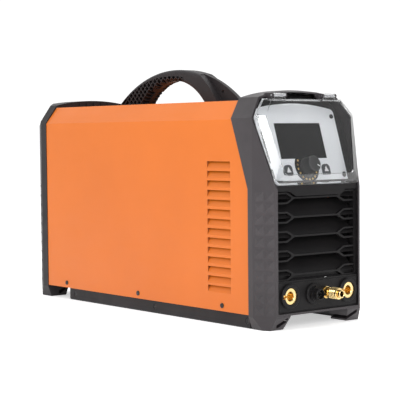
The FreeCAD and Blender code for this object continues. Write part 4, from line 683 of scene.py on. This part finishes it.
def build_pointer():
    """The white line on the knob's face."""
    points = [
        (POINTER_START, -POINTER_HALF),
        (POINTER_END, -POINTER_HALF),
        (POINTER_END, POINTER_HALF),
        (POINTER_START, POINTER_HALF),
    ]
    turned = PANEL @ Matrix.Rotation(POINTER_ANGLE, 4, "Z")
    mesh = extruded(rounded(points, 0.4 * MM), POINTER_LOW, POINTER_TOP, 0.1 * MM, turned)
    new_piece("knob_pointer", mesh, WHITE_INK, "knob")


build_button_marks()
build_dial_dots()
build_pointer()


# Floor, light and camera.

FLOOR_REACH = 14.0
FLOOR_GLOW = 0.5

BACKDROP_DIRECTION = (0.6, 0.74, 0.3)
BACKDROP_LEVEL = 1.08
ROOM_LEVEL = 0.28

KEY_DIRECTION = Vector((-0.394, -0.84, 0.373))
KEY_DISTANCE = 1.8
CASE_MIDDLE = Vector((0.0, 0.0, 0.2))

CAMERA_PLACE = Vector((-1.3165, -1.6504, 0.2775))
CAMERA_YAW = math.radians(39.185)
CAMERA_PITCH = math.radians(2.859)
CAMERA_ROLL = math.radians(-0.541)
CAMERA_LENS = 117.07
SENSOR_WIDTH = 36.0


def floor_finish():
    """A pale lit studio floor that fades into the backdrop."""
    shader = Shader("floor_white")
    shader.set(
        Base_Color=shader.blend(shader.patches(1.0, 3.0), (0.88, 0.88, 0.88), (0.9, 0.9, 0.9)),
        Roughness=shader.uneven(3.0, 4.0, 0.55, 0.65),
        Normal=shader.bump(shader.noise(60.0, 2.0), 0.0001, 0.4),
        Emission_Color=(1.0, 1.0, 1.0),
        Emission_Strength=FLOOR_GLOW,
    )
    return shader.material


def build_floor():
    mesh = bmesh.new()
    bmesh.ops.create_grid(mesh, x_segments=2, y_segments=2, size=FLOOR_REACH)
    data = bpy.data.meshes.new("studio_floor")
    mesh.to_mesh(data)
    mesh.free()
    floor = bpy.data.objects.new("studio_floor", data)
    scene.collection.objects.link(floor)
    floor.location = (0.0, 0.0, cad_low.z)
    data.materials.append(floor_finish())


def build_area_light(name, location, target, size, power):
    data = bpy.data.lights.new(name, "AREA")
    data.shape = "RECTANGLE"
    data.size, data.size_y = size
    data.energy = power
    lamp = bpy.data.objects.new(name, data)
    scene.collection.objects.link(lamp)
    lamp.location = location
    lamp.rotation_euler = (target - Vector(location)).to_track_quat("-Z", "Y").to_euler()


def build_lights():
    lid_low, lid_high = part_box("clear_lid")
    lid_middle = (lid_low + lid_high) / 2
    key_place = lid_middle + KEY_DIRECTION * KEY_DISTANCE
    build_area_light("key_light", key_place, lid_middle, (0.9, 0.75), 19.0)
    build_area_light("left_light", (-2.6, 0.4, 1.6), CASE_MIDDLE, (1.6, 1.6), 30.0)
    build_area_light("top_light", (0.3, 0.2, 2.6), CASE_MIDDLE, (2.0, 2.0), 36.0)


def build_world():
    """Light that is bright behind and above the machine and dimmer in front; the camera sees white."""
    world = bpy.data.worlds.new("studio")
    scene.world = world
    world.use_nodes = True
    tree = world.node_tree
    background = tree.nodes["Background"]
    background.inputs["Color"].default_value = (1.0, 1.0, 1.0, 1.0)
    place = tree.nodes.new("ShaderNodeTexCoord")
    towards = tree.nodes.new("ShaderNodeVectorMath")
    towards.operation = "DOT_PRODUCT"
    towards.inputs[1].default_value = BACKDROP_DIRECTION
    tree.links.new(place.outputs["Generated"], towards.inputs[0])
    level = tree.nodes.new("ShaderNodeMapRange")
    level.inputs["From Min"].default_value = -0.1
    level.inputs["From Max"].default_value = 0.7
    level.inputs["To Min"].default_value = ROOM_LEVEL
    level.inputs["To Max"].default_value = BACKDROP_LEVEL
    tree.links.new(towards.outputs["Value"], level.inputs["Value"])
    ray = tree.nodes.new("ShaderNodeLightPath")
    direct = tree.nodes.new("ShaderNodeMath")
    direct.operation = "MULTIPLY"
    direct.inputs[1].default_value = BACKDROP_LEVEL
    tree.links.new(ray.outputs["Is Camera Ray"], direct.inputs[0])
    strongest = tree.nodes.new("ShaderNodeMath")
    strongest.operation = "MAXIMUM"
    tree.links.new(level.outputs["Result"], strongest.inputs[0])
    tree.links.new(direct.outputs["Value"], strongest.inputs[1])
    tree.links.new(strongest.outputs["Value"], background.inputs["Strength"])


def build_camera():
    flat = math.cos(CAMERA_PITCH)
    forward = Vector((math.sin(CAMERA_YAW) * flat, math.cos(CAMERA_YAW) * flat, -math.sin(CAMERA_PITCH)))
    level = Vector((math.cos(CAMERA_YAW), -math.sin(CAMERA_YAW), 0.0))
    upright = level.cross(forward)
    right = level * math.cos(CAMERA_ROLL) + upright * math.sin(CAMERA_ROLL)
    top = upright * math.cos(CAMERA_ROLL) - level * math.sin(CAMERA_ROLL)
    data = bpy.data.cameras.new("camera")
    data.sensor_width = SENSOR_WIDTH
    data.lens = CAMERA_LENS
    data.clip_start = 0.05
    data.clip_end = 60.0
    camera = bpy.data.objects.new("camera", data)
    scene.collection.objects.link(camera)
    matrix = Matrix((right, top, -forward)).transposed().to_4x4()
    matrix.translation = CAMERA_PLACE
    camera.matrix_world = matrix
    scene.camera = camera


build_floor()
build_lights()
build_world()
build_camera()
scene.view_settings.view_transform = "Standard"
